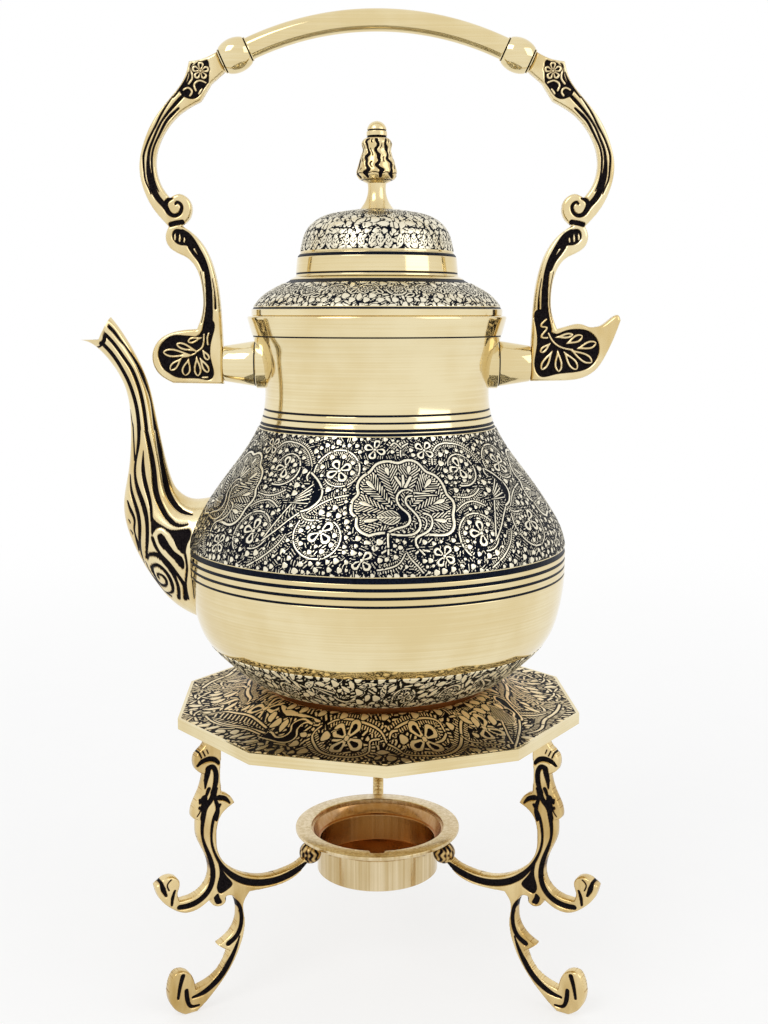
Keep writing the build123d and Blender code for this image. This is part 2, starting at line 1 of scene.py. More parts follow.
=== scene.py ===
import math
import bpy
import numpy as np
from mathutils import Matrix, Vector


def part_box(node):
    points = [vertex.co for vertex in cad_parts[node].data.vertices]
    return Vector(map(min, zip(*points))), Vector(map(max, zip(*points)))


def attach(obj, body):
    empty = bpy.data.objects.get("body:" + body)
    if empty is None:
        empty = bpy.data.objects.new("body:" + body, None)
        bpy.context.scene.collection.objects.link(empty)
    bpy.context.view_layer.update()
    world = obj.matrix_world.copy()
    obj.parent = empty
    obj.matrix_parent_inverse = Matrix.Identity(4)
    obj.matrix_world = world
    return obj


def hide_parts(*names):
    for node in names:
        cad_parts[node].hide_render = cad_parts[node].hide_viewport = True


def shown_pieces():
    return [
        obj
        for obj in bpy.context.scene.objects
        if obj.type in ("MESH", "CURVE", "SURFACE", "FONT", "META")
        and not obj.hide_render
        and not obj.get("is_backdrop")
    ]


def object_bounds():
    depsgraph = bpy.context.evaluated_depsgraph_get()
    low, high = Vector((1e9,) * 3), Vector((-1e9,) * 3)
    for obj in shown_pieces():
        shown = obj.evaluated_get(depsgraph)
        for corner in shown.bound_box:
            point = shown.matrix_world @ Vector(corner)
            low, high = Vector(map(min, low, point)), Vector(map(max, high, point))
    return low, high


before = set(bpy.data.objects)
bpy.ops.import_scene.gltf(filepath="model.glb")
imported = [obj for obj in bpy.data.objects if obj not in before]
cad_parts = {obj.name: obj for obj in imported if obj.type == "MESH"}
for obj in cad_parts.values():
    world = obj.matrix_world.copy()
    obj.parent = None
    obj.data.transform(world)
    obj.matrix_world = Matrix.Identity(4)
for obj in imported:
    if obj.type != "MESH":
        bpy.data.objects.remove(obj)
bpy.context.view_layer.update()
# the pot's axis in millimetres; the shapes below are worked out in millimetres from it
axisSpot = np.sum(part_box("body_shell"), axis=0) * (500, 500, 0)


def lengths(line):
    # how far along a line each of its points lies
    return np.concatenate(([0.0], np.cumsum(np.linalg.norm(np.diff(line, axis=0), axis=1))))


def unit(value):
    # held between nought and one
    return np.clip(value, 0, 1)


def heading(degrees):
    return math.cos(math.radians(degrees)), math.sin(math.radians(degrees))


def between(low, high, shares):
    # points at shares of the step from one corner to another
    return [(low[0] + (high[0] - low[0]) * u, low[1] + (high[1] - low[1]) * v) for u, v in shares]


def smoothLine(points, count, ends=None, even=False):
    # a cubic through the points over their chord lengths, or over even steps; ends are its directions there.
    # its second slopes solve a three-banded system
    p = np.array(points, float)
    n = len(p)
    span = np.ones(n - 1) if even else np.linalg.norm(np.diff(p, axis=0), axis=1)
    s = np.concatenate(([0.0], np.cumsum(span)))
    slope = np.diff(p, axis=0) / span[:, None]
    band, side = np.zeros((n, n)), np.zeros_like(p)
    band[0, 0] = band[-1, -1] = 1
    if ends:
        first, last = (np.array(e, float) / np.linalg.norm(e) for e in ends)
        band[0, :2] = 2 * span[0], span[0]
        band[-1, -2:] = span[-1], 2 * span[-1]
        side[0], side[-1] = 6 * (slope[0] - first), 6 * (last - slope[-1])
    i = np.arange(1, n - 1)
    band[i, i - 1], band[i, i], band[i, i + 1] = span[i - 1], 2 * (span[i - 1] + span[i]), span[i]
    side[i] = 6 * (slope[i] - slope[i - 1])
    bend = np.linalg.solve(band, side)
    t = np.linspace(0, s[-1], count)
    k = np.clip(np.searchsorted(s, t, side="right") - 1, 0, n - 2)
    h, u, v = span[k][:, None], (s[k + 1] - t)[:, None], (t - s[k])[:, None]
    curved = (bend[k] * u**3 + bend[k + 1] * v**3) / (6 * h)
    return curved + (p[k] / h - bend[k] * h / 6) * u + (p[k + 1] / h - bend[k + 1] * h / 6) * v


def readLine(line, t):
    # the points at the distances t along a line
    run = lengths(line)
    return np.stack([np.interp(t, run, column) for column in line.T], axis=1)


def evenly(line, count):
    return readLine(line, np.linspace(0, lengths(line)[-1], count))


def insideLine(x, y, line):
    # a point is inside a closed line when a level ray from it crosses the line an odd number of times
    inside = np.zeros(x.shape, bool)
    for (x0, y0), (x1, y1) in zip(line, np.roll(line, -1, axis=0)):
        cross = (y0 > y) != (y1 > y)
        inside ^= cross & (x < x0 + (y - y0) / (y1 - y0 + 1e-12) * (x1 - x0))
    return inside


def lineGap(x, y, line, block=4000):
    # distance to the nearest of many points along a line, and which of them it is
    fx, fy = x.ravel(), y.ravel()
    gap, which = np.empty(fx.size), np.empty(fx.size, int)
    for k in range(0, fx.size, block):
        d = np.hypot(fx[k:k + block, None] - line[:, 0], fy[k:k + block, None] - line[:, 1])
        which[k:k + block] = d.argmin(axis=1)
        gap[k:k + block] = d.min(axis=1)
    return gap.reshape(x.shape), which.reshape(x.shape)


def turned(x, y, angle):
    # coordinates read along and across a direction given in degrees
    c, s = heading(angle)
    return x * c + y * s, y * c - x * s


class Plate:
    # a flat drawing board in millimetres: ink is 1 on blackened ground and 0 on bright metal. a band wraps
    # round and starts black, a casting's board starts bright. taken marks the places that already hold a
    # form, and squeeze is true width over drawn width
    def __init__(self, left, low, width, height, wraps=False):
        self.left, self.low, self.step, self.wraps = left, low, 0.1, wraps
        self.cols, self.rows = int(round(width / self.step)), int(round(height / self.step))
        self.ink = np.full((self.rows, self.cols), float(wraps))
        self.taken = np.zeros((self.rows, self.cols), bool)
        self.squeeze = lambda y: 1.0

    def window(self, x, y, reachX, reachY):
        # the cells round a point, with their distances from it in true millimetres
        factor = float(self.squeeze(y))
        i, j = (np.arange(math.floor((spot - reach - start) / self.step),
                          math.ceil((spot + reach - start) / self.step) + 1)
                for spot, reach, start in ((x, reachX / factor, self.left), (y, reachY, self.low)))
        j = j[(j >= 0) & (j < self.rows)]
        if not self.wraps:
            i = i[(i >= 0) & (i < self.cols)]
        across = ((i + 0.5) * self.step + self.left - x) * factor
        up = (j + 0.5) * self.step + self.low - y
        return np.ix_(j, i % self.cols), *np.meshgrid(across, up)

    def near(self, line, reach, factor):
        # the cells round a line, with their distances from its middle, and the line in the same distances
        low, high = line.min(axis=0), line.max(axis=0)
        (x, y), (w, h) = (low + high) / 2, (high - low) / 2
        return *self.window(x, y, w * factor + reach, h + reach), (line - (x, y)) * (factor, 1)

    def cover(self, spot, gap, halo=0.3, tone=0.0):
        # a form is filled with its tone where its gap is negative, and a black halo runs round it
        rim = unit(0.5 - (gap - halo) / self.step)
        fill = unit(0.5 - gap / self.step)
        old = self.ink[spot]
        self.ink[spot] = (old + (1 - old) * rim) * (1 - fill) + tone * fill
        self.taken[spot] |= gap < halo

    def hatch(self, pitch, cell, seed, share):
        # ground ticks: each cell of a jittered honeycomb has stripes in a direction of its own
        rng = np.random.default_rng(seed)
        nx, ny = max(int(round(self.cols * self.step / cell)), 1), int(self.rows * self.step / cell) + 3
        shift = rng.random((ny, nx, 2)) * 0.8
        lean = rng.random((ny, nx)) * 180
        gridX, gridY = np.meshgrid(*((np.arange(n) + 0.5) * self.step for n in (self.cols, self.rows)))
        wide = self.cols * self.step / nx
        ci, cj = np.floor(gridX / wide).astype(int), np.floor(gridY / cell).astype(int) + 1
        best, second = np.full((2, *gridX.shape), 99.0)
        angle = np.zeros(gridX.shape)
        for di in (-1, 0, 1):
            for dj in (-1, 0, 1):
                i, j = ci + di, np.clip(cj + dj, 0, ny - 1)
                seedX = (i + shift[j, i % nx, 0]) * wide
                seedY = (cj + dj - 1 + shift[j, i % nx, 1]) * cell
                d = np.hypot(gridX - seedX, gridY - seedY)
                closer = d < best
                second = np.where(closer, best, np.minimum(second, d))
                angle = np.where(closer, lean[j, i % nx], angle)
                best = np.where(closer, d, best)
        c, s = np.cos(np.radians(angle)), np.sin(np.radians(angle))
        wave = np.cos(2 * np.pi * (gridX * c + gridY * s) / pitch)
        bright = unit((wave - (1 - 2 * share)) * pitch / self.step / 5 + 0.5)
        self.ink = np.minimum(self.ink, 1 - bright * unit((second - best - 0.35) / 0.3))

    def stroke(self, points, width=0.42, halo=0.3, taper=(1.0, 1.0), comb=0.0, side=0, pitch=0.8, tone=0.0):
        # a line of the tool: cells within half its width of the nearest of many points along a cubic;
        # several widths are spread along it. comb adds short ticks square to it, on one side or on both
        p = np.array(points, float)
        factor = float(self.squeeze(p[:, 1].mean()))
        count = max(int(np.linalg.norm(np.diff(p, axis=0), axis=1).sum() / 0.11), 4)
        line = evenly(p if len(p) < 3 else smoothLine(p, 4 * len(p) + count), count)
        widths = np.atleast_1d(width)
        share = np.linspace(0, 1, count)
        half = 0.5 * np.interp(share, np.linspace(0, 1, len(widths)), widths) if len(widths) > 1 else width / 2
        half = half * np.interp(share, (0, 0.5, 1), (taper[0], 1, taper[1]))
        reach = half.max() + halo + comb + 0.2
        spot, gx, gy, local = self.near(line, reach, factor)
        if gx.size == 0:
            return
        run = lengths(local)
        ahead = np.gradient(local, axis=0)
        gap, along, hand = np.full(gx.shape, 9.0), np.zeros(gx.shape), np.zeros(gx.shape)
        # the line is worked through in short stretches, each over the cells that it can reach
        for start in range(0, count, 12):
            part = slice(start, start + 12)
            c, r = (slice(*np.searchsorted(cells, (q.min() - reach, q.max() + reach)))
                    for cells, q in ((gx[0], local[part, 0]), (gy[:, 0], local[part, 1])))
            dx, dy = gx[r, c][..., None] - local[part, 0], gy[r, c][..., None] - local[part, 1]
            d = np.hypot(dx, dy) - half[part]
            k = d.argmin(axis=-1)
            near, dx, dy = (np.take_along_axis(t, k[..., None], -1)[..., 0] for t in (d, dx, dy))
            closer = near < gap[r, c]
            turn = ahead[part, 0][k] * dy - ahead[part, 1][k] * dx
            gap[r, c] = np.where(closer, near, gap[r, c])
            along[r, c] = np.where(closer, run[part][k], along[r, c])
            hand[r, c] = np.where(closer, np.sign(turn), hand[r, c])
        if comb:
            tick = np.abs((along / pitch + 0.5) % 1 - 0.5) * pitch - pitch * 0.26
            body = np.maximum(tick, np.maximum(gap - halo * 0.8 - comb, halo * 0.7 - gap))
            ours = (hand == side) | (side == 0)
            inside = (gap < halo + comb) & ~self.taken[spot] & ours & (along > run[1]) & (along < run[-2])
            self.ink[spot] = np.where(inside, unit(0.5 + body / self.step), self.ink[spot])
            self.taken[spot] |= inside & (gap < comb)
        self.cover(spot, gap, halo, tone)

    def area(self, points, tone=1.0, halo=0.0):
        # a field inside a closed cubic
        p = np.array(points, float)
        line = evenly(smoothLine(np.vstack([p, p[:1]]), 500), 400)
        spot, gx, gy, local = self.near(line, 1, float(self.squeeze((line[:, 1].min() + line[:, 1].max()) / 2)))
        gap = lineGap(gx, gy, local)[0]
        gap = np.where(insideLine(gx, gy, local), -gap, gap)
        self.cover(spot, gap, halo, tone)
        return spot, gap

    def petal(self, root, tip, width, inside="hole", rim=0.5, halo=0.0):
        # a leaf from its root to its tip, widest towards the tip
        dx, dy = tip[0] - root[0], tip[1] - root[1]
        turn = math.degrees(math.atan2(dy, dx))
        self.leaf(*root, math.hypot(dx, dy), width, turn, inside, halo, rim, 1.9)

    def leaf(self, x, y, length, width, turn, inside="hole", halo=0.3, rim=0.42, bulge=0.8):
        # a pointed leaf: its half width is a power of a sine along its length; inside it has a hole,
        # slanting cuts from a midrib, or nothing
        spot, gx, gy = self.window(x, y, length + 1, length + 1)
        along, across = turned(gx, gy, turn)
        half = width / 2 * np.sin(np.pi * unit(along / length)**bulge) ** (0.85 if bulge < 1 else 0.6)
        beyond = np.maximum(-along, along - length)
        gap = np.where(beyond > 0, np.hypot(beyond, across), np.abs(across) - half)
        tone = 0.0 if inside == "none" else unit(0.5 - (gap + rim) / self.step)
        if inside == "veins":
            cut = np.cos(2 * np.pi * (along - np.abs(across) * 1.3) / 1.4)
            tone = unit(0.5 + cut * 3) * tone * unit((np.abs(across) - 0.16) / 0.1)
        self.cover(spot, gap, halo, tone)

    def bud(self, x, y, size, turn, tail=1.6, halo=0.28):
        # a round bud on a short curling stalk
        c, s = heading(turn + 180)
        f = float(self.squeeze(y))
        tip, square = np.array([c / f, s]), np.array([-s / f, c])
        start = np.array([x, y])
        self.stroke([start, start + tip * tail * size + square * 0.25 * size,
                     start + tip * tail * size * 1.6 + square * size * 0.9], 0.34, 0.22, (1, 0.5))
        spot, gx, gy = self.window(x, y, size + 1, size + 1)
        self.cover(spot, np.hypot(gx, gy) - size / 2 * (1 + 0.12 * np.cos(3 * np.arctan2(gy, gx))), halo)

    def flower(self, x, y, size, petals=4, turn=0, skip=()):
        # petals round a centre: each is a drop that widens outwards with a dark drop inside
        spot, gx, gy = self.window(x, y, size + 1, size + 1)
        best, dark = np.full((2, *gx.shape), 9.0)
        wide = size * (0.34 if petals < 6 else 0.24)
        for k in range(petals):
            if k in skip:
                continue
            along, across = turned(gx, gy, turn + 360 * k / petals)
            gap = np.hypot(along - np.clip(along, 0.12 * size, 0.62 * size), across)
            gap = gap - wide * (0.25 + 0.75 * unit((along - 0.12 * size) / (0.5 * size)))
            inner = np.hypot(along - np.clip(along, 0.3 * size, 0.6 * size), across)
            inner = inner - wide * 0.44 * (0.3 + 0.7 * unit((along - 0.25 * size) / (0.35 * size)))
            dark = np.where(gap < best, inner, dark)
            best = np.minimum(best, gap)
        self.cover(spot, best, 0.34, unit(0.5 - dark / self.step))
        self.cover(spot, np.hypot(gx, gy) - 0.13 * size, 0.22)

    def scatter(self, size, room, seed, tail, tries, most, halo=0.28, leafy=0.0):
        # buds, and a share of slim leaves, set into whatever room is left, each turned its own way
        placed = 0
        for x, y, turn, grow in np.random.default_rng(seed).random((tries, 4)):
            px, py = self.left + x * self.cols * self.step, self.low + y * self.rows * self.step
            spot, gx, gy = self.window(px, py, room, room)
            if gx.size == 0 or (self.taken[spot] & (np.hypot(gx, gy) < room)).any():
                continue
            if grow < leafy:
                c, s = (size * 0.8 * q for q in heading(turn * 360))
                start = px - c / float(self.squeeze(py)), py - s
                self.leaf(*start, size * 1.6, size * 0.8, turn * 360, "none", halo)
                continue
            self.bud(px, py, size * (0.8 + 0.4 * grow), turn * 360, tail, halo)
            placed += 1
            if placed >= most:
                break

    def soften(self, ink, reach):
        # the mean over a square window, by running sums along both ways
        n = max(int(round(reach / self.step)), 1)
        for _ in range(2):
            total = np.pad(np.cumsum(np.pad(ink, ((n, n), (0, 0)), mode="edge"), axis=0), ((1, 0), (0, 0)))
            ink = ((total[2 * n + 1:] - total[:-2 * n - 1]) / (2 * n + 1)).T
        return ink

    def read(self, x, y, ink=None):
        # the ink at points, by linear interpolation between cells
        ink = self.ink if ink is None else ink
        u = (x - self.left) / self.step - 0.5
        v = np.clip((y - self.low) / self.step - 0.5, 0, self.rows - 1.001)
        if not self.wraps:
            u = np.clip(u, 0, self.cols - 1.001)
        i, j = np.floor(u).astype(int), np.floor(v).astype(int)
        fu, fv = u - i, v - j
        low, high = (ink[k, i % self.cols] * (1 - fu) + ink[k, (i + 1) % self.cols] * fu for k in (j, j + 1))
        return low * (1 - fv) + high * fv

    def castRelief(self, x, y, blur):
        # what a casting reads at points: the ink, and the same twice blurred, which sinks the metal
        wide = self.soften(self.soften(self.ink, blur), blur + 0.1)
        return self.read(x, y, self.soften(self.ink, 0.05)), self.read(x, y, wide)


# the belly's pattern: degrees round the pot and millimetres up the wall; a line is its points and its width
bellyBand = {
    "from": -27.0, "height": 57.5, "hub": (8, 24),
    "medallion": [(-2, 16), (-4.3, 17.4), (-5.9, 20.3), (-6.2, 23.4), (-7.5, 24.9), (-8, 27.4), (-7.6, 30.6),
        (-6.1, 33.2), (-6.5, 35.6), (-6.3, 38.3), (-4.6, 41), (-2.2, 43), (-0.6, 45.4), (2.5, 47), (5.8, 47.1),
        (8.6, 46.5), (11.2, 47.4), (14, 47.5), (17, 45.6), (19, 42.5), (21.6, 41), (23.8, 37.8), (24.4, 34.3),
        (24.6, 32), (25.9, 29.5), (25.8, 26.6), (24.6, 23.4), (24.2, 20), (22.9, 17), (21, 15.7), (16, 15.9),
        (9.5, 15.6), (3.3, 16.9)],
    "peacock": [([(3.2, 16.9), (5.3, 16.4), (8.4, 16), (11, 16.5), (12.8, 18.3), (13.4, 21.3), (12.5, 24.3),
        (10.9, 26.9), (9.7, 29.4), (10.1, 31.5), (11.9, 32.2), (13.2, 31.9)], 0.6), ([(3.3, 17.2), (6.1, 18.8),
        (9.1, 20), (10.4, 22.1), (9.9, 24.9), (8.2, 27), (7, 29.5), (6.9, 31.8), (8.3, 34.1), (10.5, 35),
        (12.3, 34.3), (13.2, 32.1)], 0.6), ([(12.9, 33.4), (17, 32.9), (20.9, 32)], 0.5), ([(12.9, 31.9),
        (17, 32.1), (20.9, 32)], 0.4), ([(9.2, 36), (7, 40.4)], 0.75), ([(9.7, 36), (9.8, 41)], 0.75),
        ([(10.2, 36), (12.6, 40.2)], 0.75), ([(14.9, 24.7), (16.9, 23.6), (17.2, 20.6), (15.7, 17.7),
        (13.5, 16.1), (11.6, 14.7), (11.4, 12.1), (12.2, 10.2)], 0.6), ([(13.9, 23.2), (15.2, 22.4),
        (15.4, 20.4), (14.4, 18.2)], 0.4), ([(12.2, 10.2), (14.9, 9.5)], 0.55), ([(12.2, 10.2), (11, 8.8)],
        0.5), ([(12.2, 10.2), (13.4, 8.2)], 0.5), ([(3.5, 16.7), (3.4, 13.3), (3.5, 10.5)], 0.6), ([(1.6, 9.2),
        (3.5, 10.5), (5.4, 9.5)], 0.5), ([(3.5, 10.5), (3.4, 8.6)], 0.5)],
    "wing": (7.6, 23.2),
    "flowers": [(34, 43.2, 4.6, 4, 100, (3,)), (57.7, 43, 4.8, 4, 30, ()), (32.6, 15, 5, 4, 85, (3,)), (55.4,
        17, 5.2, 4, 40, (1,)), (-3.9, 6.4, 4.2, 4, 40, (1,)), (19, 7.4, 4.2, 4, 55, ()), (20.3, 51.6, 3.9, 4,
        50, ()), (-0.6, 52.2, 3.9, 4, 70, ())],
    "scrolls": [(34, 43.2, 8.2, -110, 275), (57.7, 43, 10, 190, -330), (32.6, 14.5, 10.6, 235, -325),
        (55.4, 15.6, 11, 150, 290)],
    "vines": [[(46.2, 44.5), (43.5, 49.1), (38.4, 52.9), (32.3, 54.1), (26.6, 53.2), (23.4, 49.6),
        (22.4, 45.4)], [(44.5, 15.2), (42.7, 10.8), (40.2, 7.2), (37.3, 4.2), (33.7, 1.4)], [(47.7, 24.5),
        (48.6, 22.6), (50.9, 21.5), (54.1, 21.7)], [(49.5, 24.2), (51.9, 26.9), (55.1, 29.6), (59.4, 31.7),
        (62.6, 32.6)], [(8.4, 9.9), (7.3, 7.2), (5.9, 5), (3.6, 3.7), (0.3, 2.9)], [(8.4, 9.9), (9.3, 7.2),
        (11.1, 4.4), (12.7, 1.6)], [(10, 49), (10.4, 52.5), (13.5, 54.6)], [(10.4, 52.5), (7.5, 54.8),
        (5.5, 53)], [(26.8, 31), (30.3, 30.4), (35, 30.9), (38.6, 33.4)], [(26, 24.5), (29.6, 27.4),
        (34.5, 28.2), (38, 26)]],
    "bird": {"back": [(46.5, 41.8), (49.2, 39.6), (51.6, 36.8), (53.1, 33.7), (53, 30.6), (51.8, 28.2),
        (49.7, 26), (47.4, 24.9)], "breast": [(46.8, 38.7), (49.1, 36.6), (50.2, 33.6), (50.1, 30.9),
        (49, 28.3), (47.8, 26.1)], "tailLeft": [(44.8, 30.5), (42.9, 27.2), (40.5, 21.8), (38.5, 16.5),
        (36.9, 11.5)], "tailRight": [(47.1, 24.5), (44.2, 21.2), (41.4, 17.3), (38.9, 14), (36.9, 11.5)],
        "quills": (41.8, 28.2), "head": [(46, 41.9), (45.4, 40), (46.2, 38.2)]},
}


def drawCast(plate, shape):
    # the blackened recesses of a casting: filled fields, then channels whose width changes along them
    for points in shape.get("fields", []):
        plate.area(points)
    for points, width in shape["lines"]:
        plate.stroke(points, width, 0.0, tone=1.0)


def drawArm(plate, arm, foot):
    # an arm's channels, the flower on its plaque, its knob and the palmette on its foot
    drawCast(plate, arm)
    for key in ("plaque", "knob", foot + "Field"):
        plate.area(arm[key])
    for points in arm["curls"] + arm[foot + "Stems"]:
        plate.stroke(points, 0.75, 0.0, (0.8, 1))
    plate.flower(*arm["blossom"])
    for root, tip, width in arm[foot + "Petals"]:
        plate.petal(root, tip, width, rim=0.8)
    for root, tip, width in arm["ticks"]:
        plate.petal(root, tip, width, "none")


def drawScroll(plate, x, y, reach, start, sweep, seed, buds=5, comb=1.0, last=0.62):
    # a vine that winds in to a flower: its distance from the flower falls evenly with the angle turned
    knots = np.arange(16)
    angle = np.radians(np.linspace(start, start + sweep, len(knots)))
    away = np.linspace(reach, reach * last, len(knots))
    f = float(plate.squeeze(y))
    line = np.stack([x + away * np.cos(angle) / f, y + away * np.sin(angle)], axis=1)
    hand = 1 if sweep > 0 else -1
    plate.stroke(line, 0.68, 0.3, (1, 0.8), comb, side=hand, pitch=0.92)
    rng = np.random.default_rng(seed)
    for k in np.linspace(1, 11, buds):
        a, out = np.interp(k, knots, np.degrees(angle)), np.interp(k, knots, away) - 2.2 - 0.4 * rng.random()
        c, s = heading(a)
        plate.bud(x + out * c / f, y + out * s, 2.0, a + 180 + 50 * hand, 0.8)


def drawMedallion(plate, scale):
    # the scalloped field: feathers of slanting ticks in rays round a hub, with upright ticks along its rim
    line = evenly(smoothLine(bellyBand["medallion"], 400), 500)
    line[:, 0] *= scale
    closed = np.vstack([line, line[:1]])
    x0, y0 = bellyBand["hub"][0] * scale, bellyBand["hub"][1]
    spot, gx, gy = plate.window(x0, y0, 19, 33)
    f = float(plate.squeeze(y0))
    rim = (closed - (x0, y0)) * (f, 1)
    gap, inside = lineGap(gx, gy, rim)[0], insideLine(gx, gy, rim)
    signed = np.where(inside, -gap, gap)
    away, angle = np.hypot(gx, gy), np.degrees(np.arctan2(gy, gx))
    first, step, rays = -10, 28.4, 8
    turn = ((angle - first) / step + 0.5) % 1 - 0.5
    off = np.abs(away * np.radians(turn * step))
    bright = unit(0.5 + 3 * np.cos(2 * np.pi * (away - off * 1.1) / 1.36)) * unit((off - 0.1) / 0.12)
    bright *= unit((away * math.radians(step / 2) - off - 0.16) / 0.12)
    bright = np.where(-signed < 2.1, unit(0.5 + 3 * np.cos(np.radians(angle) * 110)), bright)
    plate.ink[spot] = np.where(inside, 1 - bright, plate.ink[spot])
    plate.taken[spot] |= signed < 0.9
    around = np.degrees(np.arctan2(rim[:, 1], rim[:, 0])) % 360
    for k in range(rays):
        a = first + k * step
        c, s = heading(a)
        far = np.interp(a, around, np.hypot(*rim.T), period=360) - 2.4
        near = far - (4.2 if k in (3, 4) else 6.2)
        plate.petal((x0 + near * c / f, y0 + near * s), (x0 + far * c / f, y0 + far * s), 1.7, "none", halo=0.3)
    plate.stroke(closed, 1.1, 0.42)


def drawBelly(plate, scale):
    # one fifth of the band: medallion, bird, flowers in scrolls, then buds in what room is left
    band = bellyBand
    plate.hatch(1.05, 3.2, 5, 0.28)

    def at(points):
        return [(x * scale, y) for x, y in points]

    for x, y, reach, start, sweep in band["scrolls"]:
        drawScroll(plate, x * scale, y, reach, start, sweep, int(x * 10), 6)
    for points in band["vines"]:
        plate.stroke(at(points), 0.66, 0.3, (0.7, 1), 1.1, pitch=0.92)
    drawMedallion(plate, scale)
    for points, width in band["peacock"]:
        plate.stroke(at(points), width * 1.45, 0.34)
    for x, y, size, petals, turn, skip in band["flowers"]:
        plate.flower(x * scale, y, size * 1.12, petals, turn, skip)
    drawBird(plate, at, band["bird"])
    x, y = band["wing"]
    plate.leaf(x * scale, y, 9.0, 6.0, 178, "veins", 0.4)
    plate.scatter(2.1, 1.45, 3, 0.9, 6000, 70)
    plate.scatter(1.5, 1.05, 8, 0.7, 6000, 90)
    drawEdge(plate, 0.0, band["height"], 0.95, 1.5, (1.1, 0.8), (0.46, 0.26), 72 * scale)


def drawEdge(plate, low, high, pitch, length, free, widths, whole):
    # a row of short ticks standing on each edge, wherever nothing else is drawn
    count = int(whole / pitch)
    for edge, up in ((low, 1), (high, -1)):
        for k in range(count):
            x = plate.left + (k + 0.5) * whole / count
            if not plate.taken[plate.window(x, edge + up * free[0], 0.4, free[1])[0]].any():
                plate.stroke([(x, edge), (x + 0.1, edge + up * length)], *widths, (1, 0.5))


def drawWing(plate, x, y, size):
    # a round wing with scales: a grid of dots on black
    spot, gx, gy = plate.window(x, y, size + 1, size + 1)
    dots = np.cos(2 * np.pi * (gx + gy) / 1.25) + np.cos(2 * np.pi * (gx - gy) / 1.25)
    gap = np.hypot(gx, gy) - size
    plate.cover(spot, gap, 0.3, 1.0)
    plate.cover(spot, np.maximum(gap + 0.1, (0.1 - dots) * 0.3), 0)
    plate.cover(spot, np.abs(gap) - 0.2, 0.1)


def drawBarbs(plate, left, right, lean, width, halo):
    # pairs of barbs that meet between two edges of a tail
    for a, b in zip(left, right):
        for side in (a, b):
            plate.stroke([side, (a + b) / 2 + lean], width, halo)


def drawBird(plate, at, bird):
    # a bird with a dark crescent body, a fan of wing quills and a long pointed tail
    def along(line, shares):
        return np.stack([np.interp(shares, np.linspace(0, 1, len(line)), column) for column in line.T], axis=1)

    body, inner, tail, other = (np.array(at(bird[key])) for key in ("back", "breast", "tailLeft", "tailRight"))
    plate.stroke(tail, 0.66, 0.35)
    k = np.linspace(0.06, 0.9, 11)
    drawBarbs(plate, along(tail, k), along(other, k), (tail[-1] - tail[0]) * 0.055, 0.42, 0.24)
    plate.stroke(tail, 0.64, 0.3)
    plate.stroke(other, 0.64, 0.3)
    for k in np.linspace(0, 1, 5):
        plate.stroke([inner[1] * (1 - k) + inner[4] * k, at([bird["quills"]])[0]], 0.6, 0.3, (1, 0.5))
    shares = np.linspace(0, 1, 24)
    for k, a, b in zip(shares, along(body, shares), along(inner, shares)):
        spot, gx, gy = plate.window((a[0] + b[0]) / 2, (a[1] + b[1]) / 2, 1.6, 1.6)
        plate.cover(spot, np.hypot(gx, gy) - 1.15 * math.sin(math.pi * min(max(k, 0.12), 0.88)), 0, 1.0)
    plate.stroke(body, 0.85, 0.34)
    plate.stroke(at(bird["head"]), 0.66, 0.3)


def drawBand(run, repeats, kind):
    # a band on a turned wall, drawn as wide as its middle radius makes it. the foot's band is drawn lower
    # than it is, because the photo sees it from a low angle
    slant = lengths(run) * (0.55 if kind == "foot" else 1.0)
    middle = 66.0 if kind == "belly" else run[:, 0].mean()
    scale = middle * math.pi / 180
    width, height = 360 * scale / repeats, slant[-1]
    plate = Plate(bellyBand["from"] * scale if kind == "belly" else 0.0, 0.0, width, height, True)
    plate.squeeze = lambda y: np.interp(y, slant, run[:, 0]) / middle
    if kind == "belly":
        drawBelly(plate, scale)
        return plate
    if kind == "lid_dome":
        drawDome(plate, width, height)
        return plate
    plate.hatch(1.35, 3.2, 7, 0.5 if kind == "foot" else 0.66)
    if kind == "foot":

        def at(points):
            return [(width * 0.2 + (y - 26) * 0.5, height * 0.52 - (x - 46) * 0.4) for x, y in points]

        for x, y, reach, start, sweep in ((0.62, 0.5, 4.8, 200, -300), (0.9, 0.46, 4.6, 20, 300)):
            drawScroll(plate, x * width, y * height, reach, start, sweep, int(99 * x), 5, 0.8)
            plate.flower(x * width, y * height, 3.0, 4, 40 + 60 * x)
        drawBird(plate, at, bellyBand["bird"])
        for x, y, turn, long in ((0.04, 0.7, 30, 6), (0.1, 0.2, 150, 5), (0.36, 0.82, 10, 7),
                                 (0.42, 0.15, 170, 6), (0.48, 0.5, 80, 7), (0.76, 0.86, 200, 6),
                                 (0.78, 0.12, -20, 6)):
            plate.leaf(x * width, y * height, long, 2.1, turn, "veins")
    else:
        for k in range(7):
            plate.bud((k + 0.5) / 7 * width, height * 0.2, 2.5, 90 + 40 * (k % 2), 0.5)
        for k, (turn, sweep) in enumerate(((200, -300), (-20, 300), (160, 280))):
            x = (k + 0.5) / 3 * width
            drawScroll(plate, x, height * 0.6, 4.4, turn, sweep, k + 3, 3, 0.9)
            plate.flower(x, height * 0.6, 2.7, 5, 50 * k)
            plate.leaf(x + width / 6, height * 0.4, 4.4, 2.4, 60 + 70 * k, "hole", rim=0.6)
    plate.scatter(2.6, 1.6, 5, 0.9, 4000, 60, 0.3, 0.6)
    plate.scatter(1.8, 1.15, 6, 0.7, 4000, 60, 0.26, 0.6)
    drawEdge(plate, 0.0, height, 1.0, 1.5, (1.05, 0.75), (0.48, 0.26), plate.cols * plate.step)
    return plate


